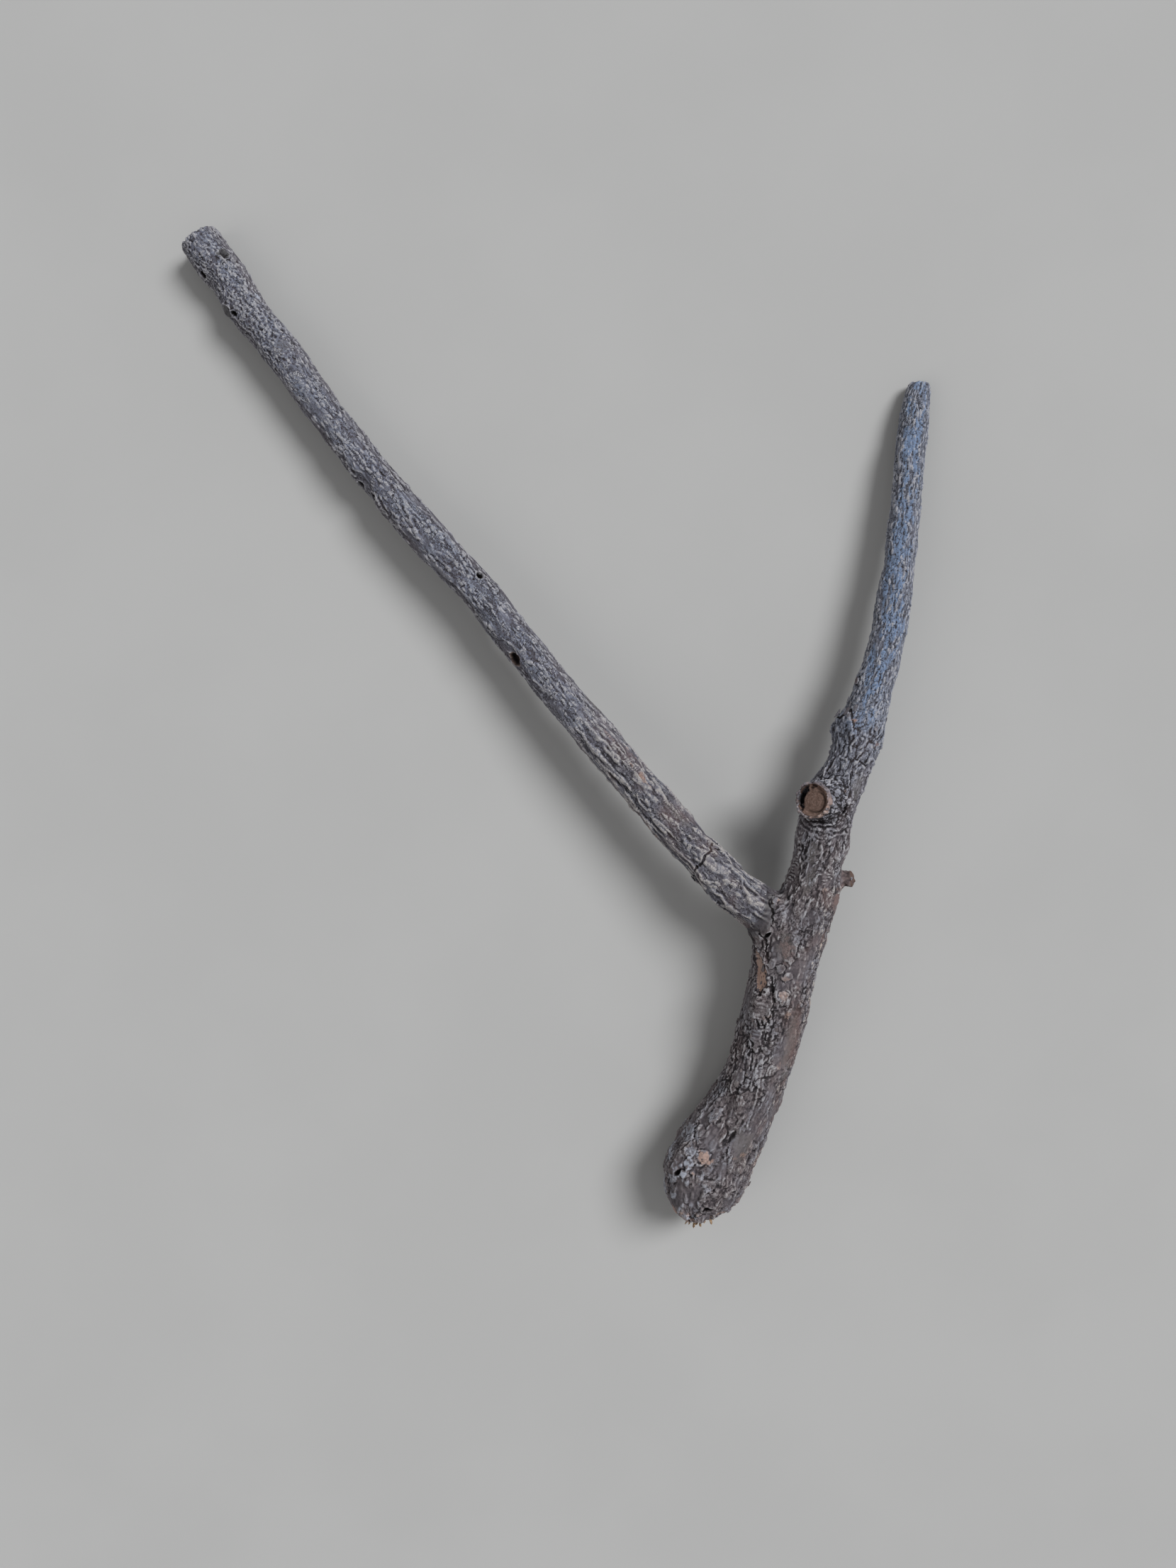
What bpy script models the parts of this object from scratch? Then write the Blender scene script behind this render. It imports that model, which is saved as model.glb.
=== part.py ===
"""A fallen tree branch that forks once, lying on its back on level ground.

The stem runs from a torn, knobby butt up to the fork. There a long straight limb leaves
to the left, and a short limb carries on to the right. Both end where they broke off.
The branch rests on three points: the butt and the two broken tips.
"""

import math

import bmesh
import bpy
import numpy as np
from mathutils import Vector, noise

MM = 0.001

# Driving dimensions, in millimetres
RING_GAP = 6.6        # from one ring of points to the next along a limb
STEM_SIDES = 22       # points around the stem and the short limb
LIMB_SIDES = 20       # points around the long limb
STUB_SIDES = 16
NODE_GAP = 0.3        # left open between the pieces where they meet at the fork
REACH = 900.0         # further than the branch goes, for the shapes that part it

# The line that the stem and the short limb follow, from the butt to the tip.
# Each station is x, y, height above the ground, and radius.
LEADER = [
    (87, -301, 23, 14), (87, -297, 23.5, 18.5), (88, -289, 24.5, 22.5), (92, -277, 25, 25.5),
    (97, -262, 25.5, 26), (105, -246, 26.5, 24), (114, -230, 27.5, 21.5),
    (126, -198, 30, 20), (134, -160, 33, 20), (141, -120, 36, 20.5),
    (152, -91, 38, 17), (155, -80, 38, 16), (160, -50, 38, 16), (162.5, -36, 38, 16.3),
    (168, -24, 37.5, 15), (173.5, -14, 36.8, 13.7), (178, -3, 35.5, 13.6), (181, 10, 34, 14),
    (186, 23, 32, 12.8), (191, 38, 30, 11.3),
    (198, 62, 27, 10.8), (207, 120, 20.5, 9.5), (210, 152, 16.5, 9.5),
    (213, 180, 12.5, 9.5), (216, 203, 8.6, 8.8), (218.5, 214, 7, 7.8), (219, 219, 6.8, 6.6),
]

# The long limb, from inside the stem to its broken tip
LONG = [
    (134, -124, 35, 13), (127, -106, 37, 15), (122, -100, 37, 14.2), (108, -90.5, 36, 13.4),
    (96.5, -79.5, 35.5, 13), (77.5, -59.5, 34, 12.6), (54.5, -33.5, 32, 12.1), (29.5, -4.5, 30, 12),
    (-0.5, 30.5, 27, 11.5), (-30, 67, 24.5, 11.4), (-53, 96, 22.5, 11.3), (-81, 125, 20.5, 12),
    (-117, 167, 18, 11), (-148.5, 208.5, 16, 11), (-169.5, 237.5, 14.5, 11.3),
    (-184.5, 255, 13.5, 11.3), (-197, 277, 12.2, 11), (-205, 286, 11.6, 11.8),
    (-211, 294, 11.4, 12), (-215, 300, 11.6, 11.8),
]

# The sawn side stub on the short limb, leaning up and to the left, and its end:
# bark rim, groove where the bark has come away, and sawn wood
STUB_LINE = [
    (168, -33, 34, 13), (164, -32.5, 45, 12.5), (156, -31, 57, 11.8), (146, -29, 70, 11.2),
]
STUB_RIM = 9.0
STUB_WOOD = 7.2
STUB_RIM_RISE = 1.2
STUB_GROOVE_DEPTH = 6.0

# The dead twig stub low on the right of the short limb
TWIG_LINE = [(158, -82, 38, 7), (168, -82, 38.5, 6.5), (174, -81.5, 39.5, 5), (178.5, -81, 40, 4.4)]

# The pinched ridge of bark between the two limbs: centre and half sizes
CROTCH_CENTRE = (131, -100.5, 37)
CROTCH_SIZE = (6.5, 11, 17)

# The core of torn wood that sticks out of the butt
SPLINTER_LINE = [(90, -290, 22, 10), (89, -303, 21.5, 9), (88.5, -307, 21, 6.5), (88, -310.5, 20.5, 2.5)]

# Where the branch is parted at its fork, seen from above
CROTCH = (132.2, -89.5)
LEFT_ARMPIT = (112.2, -109.3)
RIGHT_OF_FORK = (166.0, -96.7)
BETWEEN_LIMBS = (130.0, -60.0)

# Bark: height and spacing of the long ridges, and height and size of the broad lumps
STEM_BARK = {"ridge": 2.6, "ridge_width": 7.0, "ridge_length": 22.0, "lump": 1.3, "lump_size": 19.0}
LEADER_BARK = {"ridge": 1.5, "ridge_width": 5.5, "ridge_length": 16.0, "lump": 0.6, "lump_size": 15.0}
LONG_BARK = {"ridge": 1.4, "ridge_width": 5.0, "ridge_length": 19.0, "lump": 0.4, "lump_size": 17.0}
BARK_CHANGES = (205.0, 250.0)     # the stem's bark turns into the short limb's between these

# Knots, ledges, scars and holes. Each is its place along the line, its angle (0 is the
# limb's right side, 90 its top), its half length, its half width and its height.
LEADER_FEATURES = [
    (33, 160, 13, 12, 3.2),       # knob that bulges left at the butt
    (41, 142, 6, 6, 1.6),         # broad scale
    (48, 119, 6, 6, 1.2),
    (66, 100, 7, 4, -3.0),        # wedge-shaped furrow above the knob
    (62, 20, 9, 9, 1.5),
    (72, 150, 8, 8, 1.4),
    (97, 60, 12, 5, -1.2),
    (109, 178, 5, 5, 1.0),
    (128, 120, 10, 4, -1.5),
    (153, 132, 11, 9, 1.8),       # plate of bark outlined by a crack
    (172, 172, 9, 6, -3.2),       # notch of torn wood on the left
    (186, 178, 4, 5, 1.2),
    (196, 112, 10, 9, -0.9),      # smooth bald patch
    (222, 52, 9, 9, 1.5),         # collar below the twig stub
    (238, 121, 9, 8, -0.8),
    (258, 150, 5, 8, 1.6),        # stacked ridges below the sawn stub
    (268, 120, 4, 8, 1.4),
    (279, 96, 5, 5, -2.0),        # pit beside the sawn stub
    (300, 120, 5, 7, -1.5),
    (326, 178, 7, 7, 3.0),        # ledge where the bark ends on the left
    (337, 172, 5, 5, -1.6),
    (326, 15, 6, 6, 1.6),
    (356, 176, 5, 4, 1.8),
    (433, 25, 4, 3, -1.6),
    (470, 120, 8, 4, 0.8),
]
LONG_FEATURES = [
    (58, 150, 9, 6, 0.9),
    (77, 110, 3, 9, -1.1),        # crack across the limb
    (92, 60, 9, 5, 0.9),
    (141, 72, 11, 6, 1.2),        # thick patch of corky bark
    (190, 160, 9, 5, 0.8),
    (243, 127, 5, 4, -2.4),       # hole of a lost twig
    (294, 40, 4, 4, -2.2),
    (306, 60, 6, 5, 0.9),
    (376, 131, 7, 4, -2.4),       # double knot hole
    (388, 140, 4, 5, 1.2),
    (427, 12, 5, 3, -1.8),
    (470, 78, 5, 8, 0.9),
    (506, 155, 5, 5, 1.6),        # dark knot on the left edge
    (530, 178, 13, 8, 2.4),       # swelling behind the broken end
    (535, 49, 4, 4, -1.8),        # round knot near the tip
]

# The hollow in the broken end of the long limb, and the slanted end of the short one:
# each ring of the end is its share of the radius and how far it is set in
BUTT_END = [(0.86, 2.0), (0.62, 5.0), (0.3, 4.0)]
LONG_END = [(0.84, -0.3), (0.7, 4.5), (0.42, 5.0)]
SHORT_END = [(0.78, -0.8), (0.35, 0.4)]


def clear_scene():
    for old in list(bpy.data.objects):
        bpy.data.objects.remove(old, do_unlink=True)


def wood_material(name, colour, roughness):
    material = bpy.data.materials.new(name)
    material.use_nodes = True
    surface = material.node_tree.nodes["Principled BSDF"]
    surface.inputs["Base Color"].default_value = (*colour, 1.0)
    surface.inputs["Roughness"].default_value = roughness
    surface.inputs["Metallic"].default_value = 0.0
    return material


def curve_through(stations, steps=14):
    """A smooth line through the stations, as rows of x, y, z and radius."""
    points = np.array(stations, dtype=float)
    first = 2 * points[0] - points[1]
    last = 2 * points[-1] - points[-2]
    points = np.vstack([first, points, last])
    rows = []
    for i in range(1, len(points) - 2):
        before, start, end, after = points[i - 1:i + 3]
        for step in range(steps):
            t = step / steps
            rows.append(0.5 * (2 * start + (end - before) * t
                               + (2 * before - 5 * start + 4 * end - after) * t ** 2
                               + (3 * start - before - 3 * end + after) * t ** 3))
    rows.append(points[-2])
    return np.array(rows)


def ring_places(length, features, gap):
    """Where the rings go: evenly spaced, with one more at each feature."""
    places = list(np.linspace(0.0, length, max(2, round(length / gap) + 1)))
    for feature in features:
        along = feature[0]
        nearest = min(range(1, len(places) - 1), key=lambda i: abs(places[i] - along))
        places[nearest] = along
    return sorted(places)


def bark_height(bark, along, angle, radius):
    """Height of the bark: long wavy ridges with furrows between, over broad lumps."""
    x = math.cos(angle) * radius
    y = math.sin(angle) * radius
    sway = 2.5 * noise.noise(Vector((x / 20, y / 20, along / 25)))
    across = Vector((x + sway, y - sway, 0)) / bark["ridge_width"]
    ridge = noise.noise(across + Vector((3.1, 7.7, along / bark["ridge_length"])))
    lump = noise.noise(Vector((x, y, along)) / bark["lump_size"] + Vector((11.3, 5.9, 2.2)))
    return bark["ridge"] * (0.3 - abs(ridge) * 1.8) + bark["lump"] * lump * 1.6


def feature_height(features, along, angle, radius):
    height = 0.0
    for place, degrees, half_length, half_width, rise in features:
        turn = (angle - math.radians(degrees) + math.pi) % (2 * math.pi) - math.pi
        distance = ((along - place) / half_length) ** 2 + (turn * radius / half_width) ** 2
        height += rise * math.exp(-distance)
    return height


def leader_bark(along):
    low, high = BARK_CHANGES
    share = min(1.0, max(0.0, (along - low) / (high - low)))
    return {key: STEM_BARK[key] + (LEADER_BARK[key] - STEM_BARK[key]) * share for key in STEM_BARK}


def no_bark(along):
    return dict(LONG_BARK, ridge=0.35, lump=0.3)


def tube(name, stations, sides, gap, bark_at, features=(), start=(), end=()):
    """A closed limb along the stations, with its bark, its features and its two ends."""
    line = curve_through(stations)
    steps = np.linalg.norm(np.diff(line[:, :3], axis=0), axis=1)
    lengths = np.concatenate([[0.0], np.cumsum(steps)])
    mesh = bmesh.new()
    rings = []
    for along in ring_places(lengths[-1], features, gap):
        centre = np.array([np.interp(along, lengths, line[:, k]) for k in range(3)])
        ahead = np.array([np.interp(along + 2, lengths, line[:, k]) for k in range(3)])
        behind = np.array([np.interp(along - 2, lengths, line[:, k]) for k in range(3)])
        radius = np.interp(along, lengths, line[:, 3])
        forward = Vector(ahead - behind).normalized()
        side = forward.cross(Vector((0, 0, 1)))
        if side.length < 0.3:
            side = forward.cross(Vector((0, 1, 0)))
        side.normalize()
        rise = side.cross(forward)
        ring = []
        for k in range(sides):
            angle = 2 * math.pi * k / sides
            out = radius + bark_height(bark_at(along), along, angle, radius)
            out += feature_height(features, along, angle, radius)
            ring.append(Vector(centre) + (side * math.cos(angle) + rise * math.sin(angle)) * out)
        rings.append((Vector(centre), forward, ring))
    loops = [ring for centre, forward, ring in rings]
    centre, forward, ring = rings[0]
    for share, depth in start:
        loops.insert(0, [centre + (point - centre) * share + forward * depth for point in ring])
    start_point = centre + forward * (start[-1][1] if start else 0.0)
    centre, forward, ring = rings[-1]
    for share, depth in end:
        loops.append([centre + (point - centre) * share - forward * depth for point in ring])
    end_point = centre - forward * (end[-1][1] if end else 0.0)
    return closed_object(name, mesh, loops, start_point, end_point)


def closed_object(name, mesh, loops, start_point, end_point):
    """Skins the loops, closes both ends to a point, and keeps all of it above the ground."""
    rows = [[mesh.verts.new(on_ground(point)) for point in loop] for loop in loops]
    sides = len(rows[0])
    for low, high in zip(rows, rows[1:]):
        for k in range(sides):
            nearest = (k + 1) % sides
            mesh.faces.new((low[k], low[nearest], high[nearest], high[k]))
    for row, point in ((rows[0], start_point), (rows[-1], end_point)):
        middle = mesh.verts.new(on_ground(point))
        for k in range(sides):
            mesh.faces.new((row[k], row[(k + 1) % sides], middle))
    bmesh.ops.recalc_face_normals(mesh, faces=mesh.faces)
    return object_from(name, mesh)


def on_ground(point):
    return Vector((point.x, point.y, max(point.z, 0.0))) * MM


def object_from(name, mesh):
    data = bpy.data.meshes.new(name)
    mesh.to_mesh(data)
    mesh.free()
    made = bpy.data.objects.new(name, data)
    bpy.context.scene.collection.objects.link(made)
    return made


def stub_end(stub_line):
    """Gives the sawn stub its end: a raised rim of bark, a groove and the flat sawn wood.

    The groove is deep on the side away from the limb and runs out on the near side.
    """
    line = curve_through(stub_line)
    steps = np.linalg.norm(np.diff(line[:, :3], axis=0), axis=1)
    lengths = np.concatenate([[0.0], np.cumsum(steps)])
    forward = Vector(line[-1, :3] - line[-8, :3]).normalized()
    side = forward.cross(Vector((0, 1, 0))).normalized()
    rise = side.cross(forward)
    mesh = bmesh.new()
    loops = []
    for along in np.linspace(0.0, lengths[-1], 7):
        centre = Vector([np.interp(along, lengths, line[:, k]) for k in range(3)])
        radius = np.interp(along, lengths, line[:, 3])
        loops.append(stub_ring(centre, side, rise, radius, along))
    face = Vector(line[-1, :3])
    loops.append(stub_ring(face + forward * STUB_RIM_RISE, side, rise, (STUB_RIM + STUB_LINE[-1][3]) / 2, 50))
    loops.append(stub_ring(face + forward * 0.4, side, rise, STUB_RIM, 50))
    groove = []
    for k, point in enumerate(stub_ring(face, side, rise, STUB_RIM - 0.4, 50)):
        angle = 2 * math.pi * k / STUB_SIDES
        depth = STUB_GROOVE_DEPTH * max(0.05, math.cos(angle - math.radians(150)))
        groove.append(point - forward * depth)
    loops.append(groove)
    loops.append(stub_ring(face - forward * 0.6, side, rise, STUB_WOOD, 50))
    loops.append(stub_ring(face - forward * 0.2, side, rise, STUB_WOOD * 0.5, 50))
    return closed_object("sawn_stub", mesh, loops, Vector(line[0, :3]), face - forward * 0.2)


def stub_ring(centre, side, rise, radius, along):
    ring = []
    for k in range(STUB_SIDES):
        angle = 2 * math.pi * k / STUB_SIDES
        out = radius + 0.5 * noise.noise(Vector((math.cos(angle), math.sin(angle), along / 14)) * 1.7)
        ring.append(centre + (side * math.cos(angle) + rise * math.sin(angle)) * out)
    return ring


def crotch_ridge():
    mesh = bmesh.new()
    bmesh.ops.create_uvsphere(mesh, u_segments=14, v_segments=9, radius=MM)
    for vert in mesh.verts:
        for axis in range(3):
            vert.co[axis] *= CROTCH_SIZE[axis]
        vert.co += Vector(CROTCH_CENTRE) * MM
    return object_from("crotch_ridge", mesh)


def joined(target, others, operation):
    """Applies a Boolean of each of the others to the target and removes them."""
    for other in others:
        cut = target.modifiers.new(other.name, "BOOLEAN")
        cut.operation = operation
        cut.solver = "EXACT"
        cut.object = other
    evaluated = target.evaluated_get(bpy.context.evaluated_depsgraph_get())
    mesh = bpy.data.meshes.new_from_object(evaluated)
    target.modifiers.clear()
    target.data = mesh
    for other in others:
        bpy.data.objects.remove(other, do_unlink=True)
    return target


def direction(start, end):
    return (Vector(end) - Vector(start)).normalized()


def region(name, first, second):
    """An upright block between two lines out of the crotch, half the gap inside each."""
    middle = (first + second).normalized()
    half_angle = first.angle(second) / 2
    corner = Vector(CROTCH) + middle * (NODE_GAP / 2 / math.sin(half_angle))
    outline = [corner, corner + first * REACH, corner + middle * REACH * 1.5, corner + second * REACH]
    mesh = bmesh.new()
    face = mesh.faces.new([mesh.verts.new(Vector((p.x, p.y, -50.0)) * MM) for p in outline])
    raised = bmesh.ops.extrude_face_region(mesh, geom=[face])
    tops = [item for item in raised["geom"] if isinstance(item, bmesh.types.BMVert)]
    bmesh.ops.translate(mesh, verts=tops, vec=(0, 0, 250 * MM))
    bmesh.ops.recalc_face_normals(mesh, faces=mesh.faces)
    return object_from(name, mesh)


def whole_branch():
    leader = tube("leader", LEADER, STEM_SIDES, RING_GAP, leader_bark, LEADER_FEATURES,
                  start=BUTT_END, end=SHORT_END)
    limb = tube("limb", LONG, LIMB_SIDES, RING_GAP, lambda along: LONG_BARK, LONG_FEATURES,
                end=LONG_END)
    twig = tube("twig", TWIG_LINE, 10, 5.0, no_bark)
    splinters = tube("splinters", SPLINTER_LINE, 9, 4.0, no_bark)
    return joined(leader, [limb, stub_end(STUB_LINE), twig, crotch_ridge(), splinters], "UNION")


def finish_mesh(piece):
    mesh = bmesh.new()
    mesh.from_mesh(piece.data)
    bmesh.ops.remove_doubles(mesh, verts=mesh.verts, dist=0.00002)
    bmesh.ops.dissolve_degenerate(mesh, edges=mesh.edges, dist=0.00002)
    bmesh.ops.triangulate(mesh, faces=mesh.faces)
    bmesh.ops.recalc_face_normals(mesh, faces=mesh.faces)
    mesh.to_mesh(piece.data)
    mesh.free()


def centre_on_ground(pieces):
    """Moves the pieces so that the middle of the whole branch is above the origin."""
    corners = np.array([vert.co[:] for piece in pieces for vert in piece.data.vertices])
    middle = (corners.min(axis=0) + corners.max(axis=0)) / 2
    for piece in pieces:
        for vert in piece.data.vertices:
            vert.co.x -= middle[0]
            vert.co.y -= middle[1]


def build():
    clear_scene()
    branch = whole_branch()
    to_left = direction(CROTCH, LEFT_ARMPIT)
    to_right = direction(CROTCH, RIGHT_OF_FORK)
    upward = direction(CROTCH, BETWEEN_LIMBS)
    pieces = []
    for name, first, second, colour in (
            ("stem", to_right, to_left, (0.13, 0.10, 0.09)),
            ("long_limb", to_left, upward, (0.14, 0.125, 0.125)),
            ("short_limb", upward, to_right, (0.15, 0.135, 0.135))):
        piece = bpy.data.objects.new(name, branch.data.copy())
        bpy.context.scene.collection.objects.link(piece)
        joined(piece, [region(name + "_region", first, second)], "INTERSECT")
        finish_mesh(piece)
        piece.data.materials.clear()
        piece.data.materials.append(wood_material(name + "_bark", colour, 0.9))
        piece.data.shade_smooth()
        piece.data.set_sharp_from_angle(angle=math.radians(55))
        pieces.append(piece)
    bpy.data.objects.remove(branch, do_unlink=True)
    centre_on_ground(pieces)


build()
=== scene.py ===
import math

import bmesh
import bpy
import numpy as np
from mathutils import Matrix, Vector


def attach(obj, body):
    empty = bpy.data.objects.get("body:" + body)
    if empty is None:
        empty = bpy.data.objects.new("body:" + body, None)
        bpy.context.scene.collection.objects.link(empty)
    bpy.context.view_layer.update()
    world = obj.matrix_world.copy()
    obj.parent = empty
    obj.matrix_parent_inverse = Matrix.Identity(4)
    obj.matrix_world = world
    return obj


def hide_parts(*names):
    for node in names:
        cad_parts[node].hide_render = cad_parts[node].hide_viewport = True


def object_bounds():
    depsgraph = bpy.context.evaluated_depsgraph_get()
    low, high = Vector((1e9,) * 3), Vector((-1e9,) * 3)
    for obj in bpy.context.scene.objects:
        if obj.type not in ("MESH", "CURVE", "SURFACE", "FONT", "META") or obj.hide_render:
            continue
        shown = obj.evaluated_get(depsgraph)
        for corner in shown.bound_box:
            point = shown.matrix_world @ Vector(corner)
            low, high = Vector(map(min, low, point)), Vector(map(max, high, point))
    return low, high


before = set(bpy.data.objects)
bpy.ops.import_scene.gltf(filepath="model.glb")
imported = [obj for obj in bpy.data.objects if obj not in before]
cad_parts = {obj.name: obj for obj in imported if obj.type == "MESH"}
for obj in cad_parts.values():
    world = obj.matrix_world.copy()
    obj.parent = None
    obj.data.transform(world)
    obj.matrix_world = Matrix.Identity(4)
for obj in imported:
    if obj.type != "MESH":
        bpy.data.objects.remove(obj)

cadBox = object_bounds()
mm = 0.001
fullTurn = 2 * math.pi
everywhere = slice(None)

# All the places and sizes below are in mm. A place is where the thing lies seen from above.

# where the branch is parted at its fork, as the frame has it
fork = {"crotch": (131.7, -87.4), "leftArmpit": (111.7, -107.2), "rightOfFork": (165.5, -94.6),
        "betweenLimbs": (129.5, -57.9), "halfGap": 0.15, "reachAcross": 0.6}

# the one skin that all the bark is worked on, and how much of its first shape is kept at the stub and the ends
skin = {"voxel": 0.70, "smoothing": 30, "step": 0.6, "keptAtStub": 0.93, "keptAtEnds": 0.85,
        "endSizes": (("long", 15), ("short", 7)), "swell": 0.1}

# the sawn side stub, the twig stub and the broken ends
stub = {"base": (167, -31, 34), "face": (145.5, -27, 70), "wood": 7.3, "woodOff": 1.9,
        "woodToward": (0.765, -0.405, 0.501), "sunny": (0.6, -0.68, 0.42), "hollow": 5.0}
twig = {"base": (157, -80, 38), "face": (178, -79, 40)}
ends = {"long": (-215.5, 302, 11.6), "short": (218.5, 221, 6.8), "butt": (87, -304, 21)}

# how thick the leader, which is the stem with the short limb, is at these y, and how thick the long limb is
leaderSizes = ((-300, -260, -200, -90, -30, 40, 220), (20, 26, 20, 18, 15, 11, 9))
longSize = 11.5

# where one bark gives way to the next: mm from the crotch on the long limb, else y
barkEdges = {"longTip": (385, 445), "longNear": (190, 130), "butt": (-208, -240), "low": (-118, -82),
             "upper": (0, 36)}

# Bark is long wavy ridges (across, length, height, width), loose flakes (width, length, height, how many more,
# how pale), plates (width, length, height, how deep the cracks between), rugged lumps (width, length, height),
# grain, calm stretches (three sizes, how calm, how many more) and small flakes in the finish (how strong).
# Marks are given as x, y, half length, half width, and then what the line above each list says.

stem = {
    "tone": {"shade": (0.050, 0.042, 0.047), "plain": (0.136, 0.116, 0.120), "light": (0.235, 0.214, 0.216)},
    "bark": {
        "stem": {"ridge": (7.0, 30, 0.5, 0.22), "flake": (2.4, 4.5, 0.45, 0.0, 0.35),
                 "plate": (4.8, 7.5, 0.8, 0.8), "rugged": (4.6, 9.0, 0.40), "grain": 0.18,
                 "calm": (13, 13, 26, 0.9, 0.12), "small": 0.45, "seed": 67},
        "butt": {"ridge": (8.0, 18, 0.7, 0.25), "flake": (3.0, 6.0, 0.7, 0.05, 0.30),
                 "plate": (5.6, 9, 1.0, 0.45), "rugged": (7.0, 11, 0.75), "grain": 0.16,
                 "calm": (13, 13, 17, 0.9, 0.18), "small": 0.35, "seed": 79},
    },
    # depth, rim, turn, how brown inside
    "holes": [(72, -264, 3.2, 1.5, 1.8, 0.3, 30, 0.0), (91, -288, 3.5, 2.0, 2.0, 0.4, 70, 0.3)],
    # width, depth, and the places it runs through
    "cracks": [
        (0.45, 1.1, [(107, -180), (108, -193), (105, -204), (104, -215)]),
        (0.45, 1.1, [(113, -168), (117, -182), (116, -197)]),
        (0.4, 1.0, [(127, -138), (128, -152), (125, -166), (124, -178)]),
        (0.5, 1.3, [(120, -112), (124, -115), (123, -121), (125, -128)]),
        (0.4, 1.0, [(101, -232), (104, -242), (100, -252)]),
    ],
    # rise, turn
    "plates": [(121, -157, 11.5, 6.5, 1.0, 4), (134, -150, 4.4, 3.8, 0.8, 0), (118, -177, 9.0, 4.2, 0.9, -8),
               (127, -129, 3.2, 2.8, 0.8, 20), (132, -132, 3.2, 2.6, 0.7, 0), (136, -137, 3.4, 2.8, 0.8, 30),
               (127, -138, 3.0, 2.6, 0.7, 0), (124, -147, 3.6, 3.0, 0.7, 0),
               (107, -205, 8.5, 5.0, 0.8, 10), (78, -257, 3.8, 3.4, 0.8, 0),
               (76, -264, 3.8, 3.4, 0.7, 10), (87, -252, 4.6, 4.6, 0.7, 0), (95, -228, 5.5, 4.0, 0.8, 15),
               (79, -240, 5.0, 3.8, 0.9, 20), (92, -270, 4.5, 4.5, 0.6, 0)],
    # distance from rung to rung, height, turn
    "ladders": [(121, -157, 9.5, 4.6, 2.6, 0.25, 0), (118, -177, 7.5, 3.0, 2.4, 0.25, -8)],
    # turn
    "balds": [(134, -117, 7.5, 6.0, 0), (139, -182, 24, 3.6, -8), (112, -245, 12, 6.0, -10)],
    # how strong, turn; the colour comes first
    "stains": [("pink", 88, -253, 4.4, 4.6, 0.9, 0), ("tan", 112, -252, 9.0, 2.0, 0.5, 60),
               ("red", 135, -120, 8.0, 5.5, 0.55, 20), ("tan", 137, -161, 5.0, 2.0, 0.5, 0),
               ("tan", 134, -193, 6.0, 2.0, 0.5, 0), ("red", 141, -176, 34, 7.0, 0.45, -8),
               ("tan", 134, -137, 3.4, 3.0, 0.45, 0), ("tan", 134, -149, 4.0, 3.4, 0.5, 0),
               ("white", 78, -257, 3.4, 3.0, 1.0, 0), ("white", 76, -264, 3.4, 3.0, 0.9, 10),
               ("white", 94, -230, 8.0, 4.0, 0.45, 15), ("white", 79, -242, 7.0, 5.0, 0.6, 20),
               ("white", 129, -131, 5.5, 5.0, 0.35, 20), ("white", 72, -262, 8.0, 3.5, 0.75, 0),
               ("white", 88, -272, 7.0, 5.0, 0.5, 30), ("white", 99, -214, 6.0, 4.0, 0.5, 10),
               ("white", 84, -287, 6.0, 5.0, 0.45, -20),
               ("pink", 75, -296, 3.4, 4.4, 0.9, 0), ("pink", 81, -263, 2.2, 1.8, 0.8, 0),
               ("tan", 144, -209, 6.0, 2.4, 0.5, 0), ("tan", 125, -163, 4.5, 2.0, 0.4, 20)],
    "notch": {"at": (117.6, -135), "long": 12.5, "wide": 4.8, "deep": 1.6, "turn": -25},
    "wedge": {"at": (102, -242), "long": 9.0, "wide": 3.0, "deep": 1.8, "turn": 24},
    # the y where the end gets ragged, the core that the splinters take the place of, and the torn lips' y
    "tornEnd": {"ragged": (-293, -300), "core": (15, 11), "coreFloor": -299.5, "coreDeep": 9,
                "lips": (-288, -293)},
}

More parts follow.
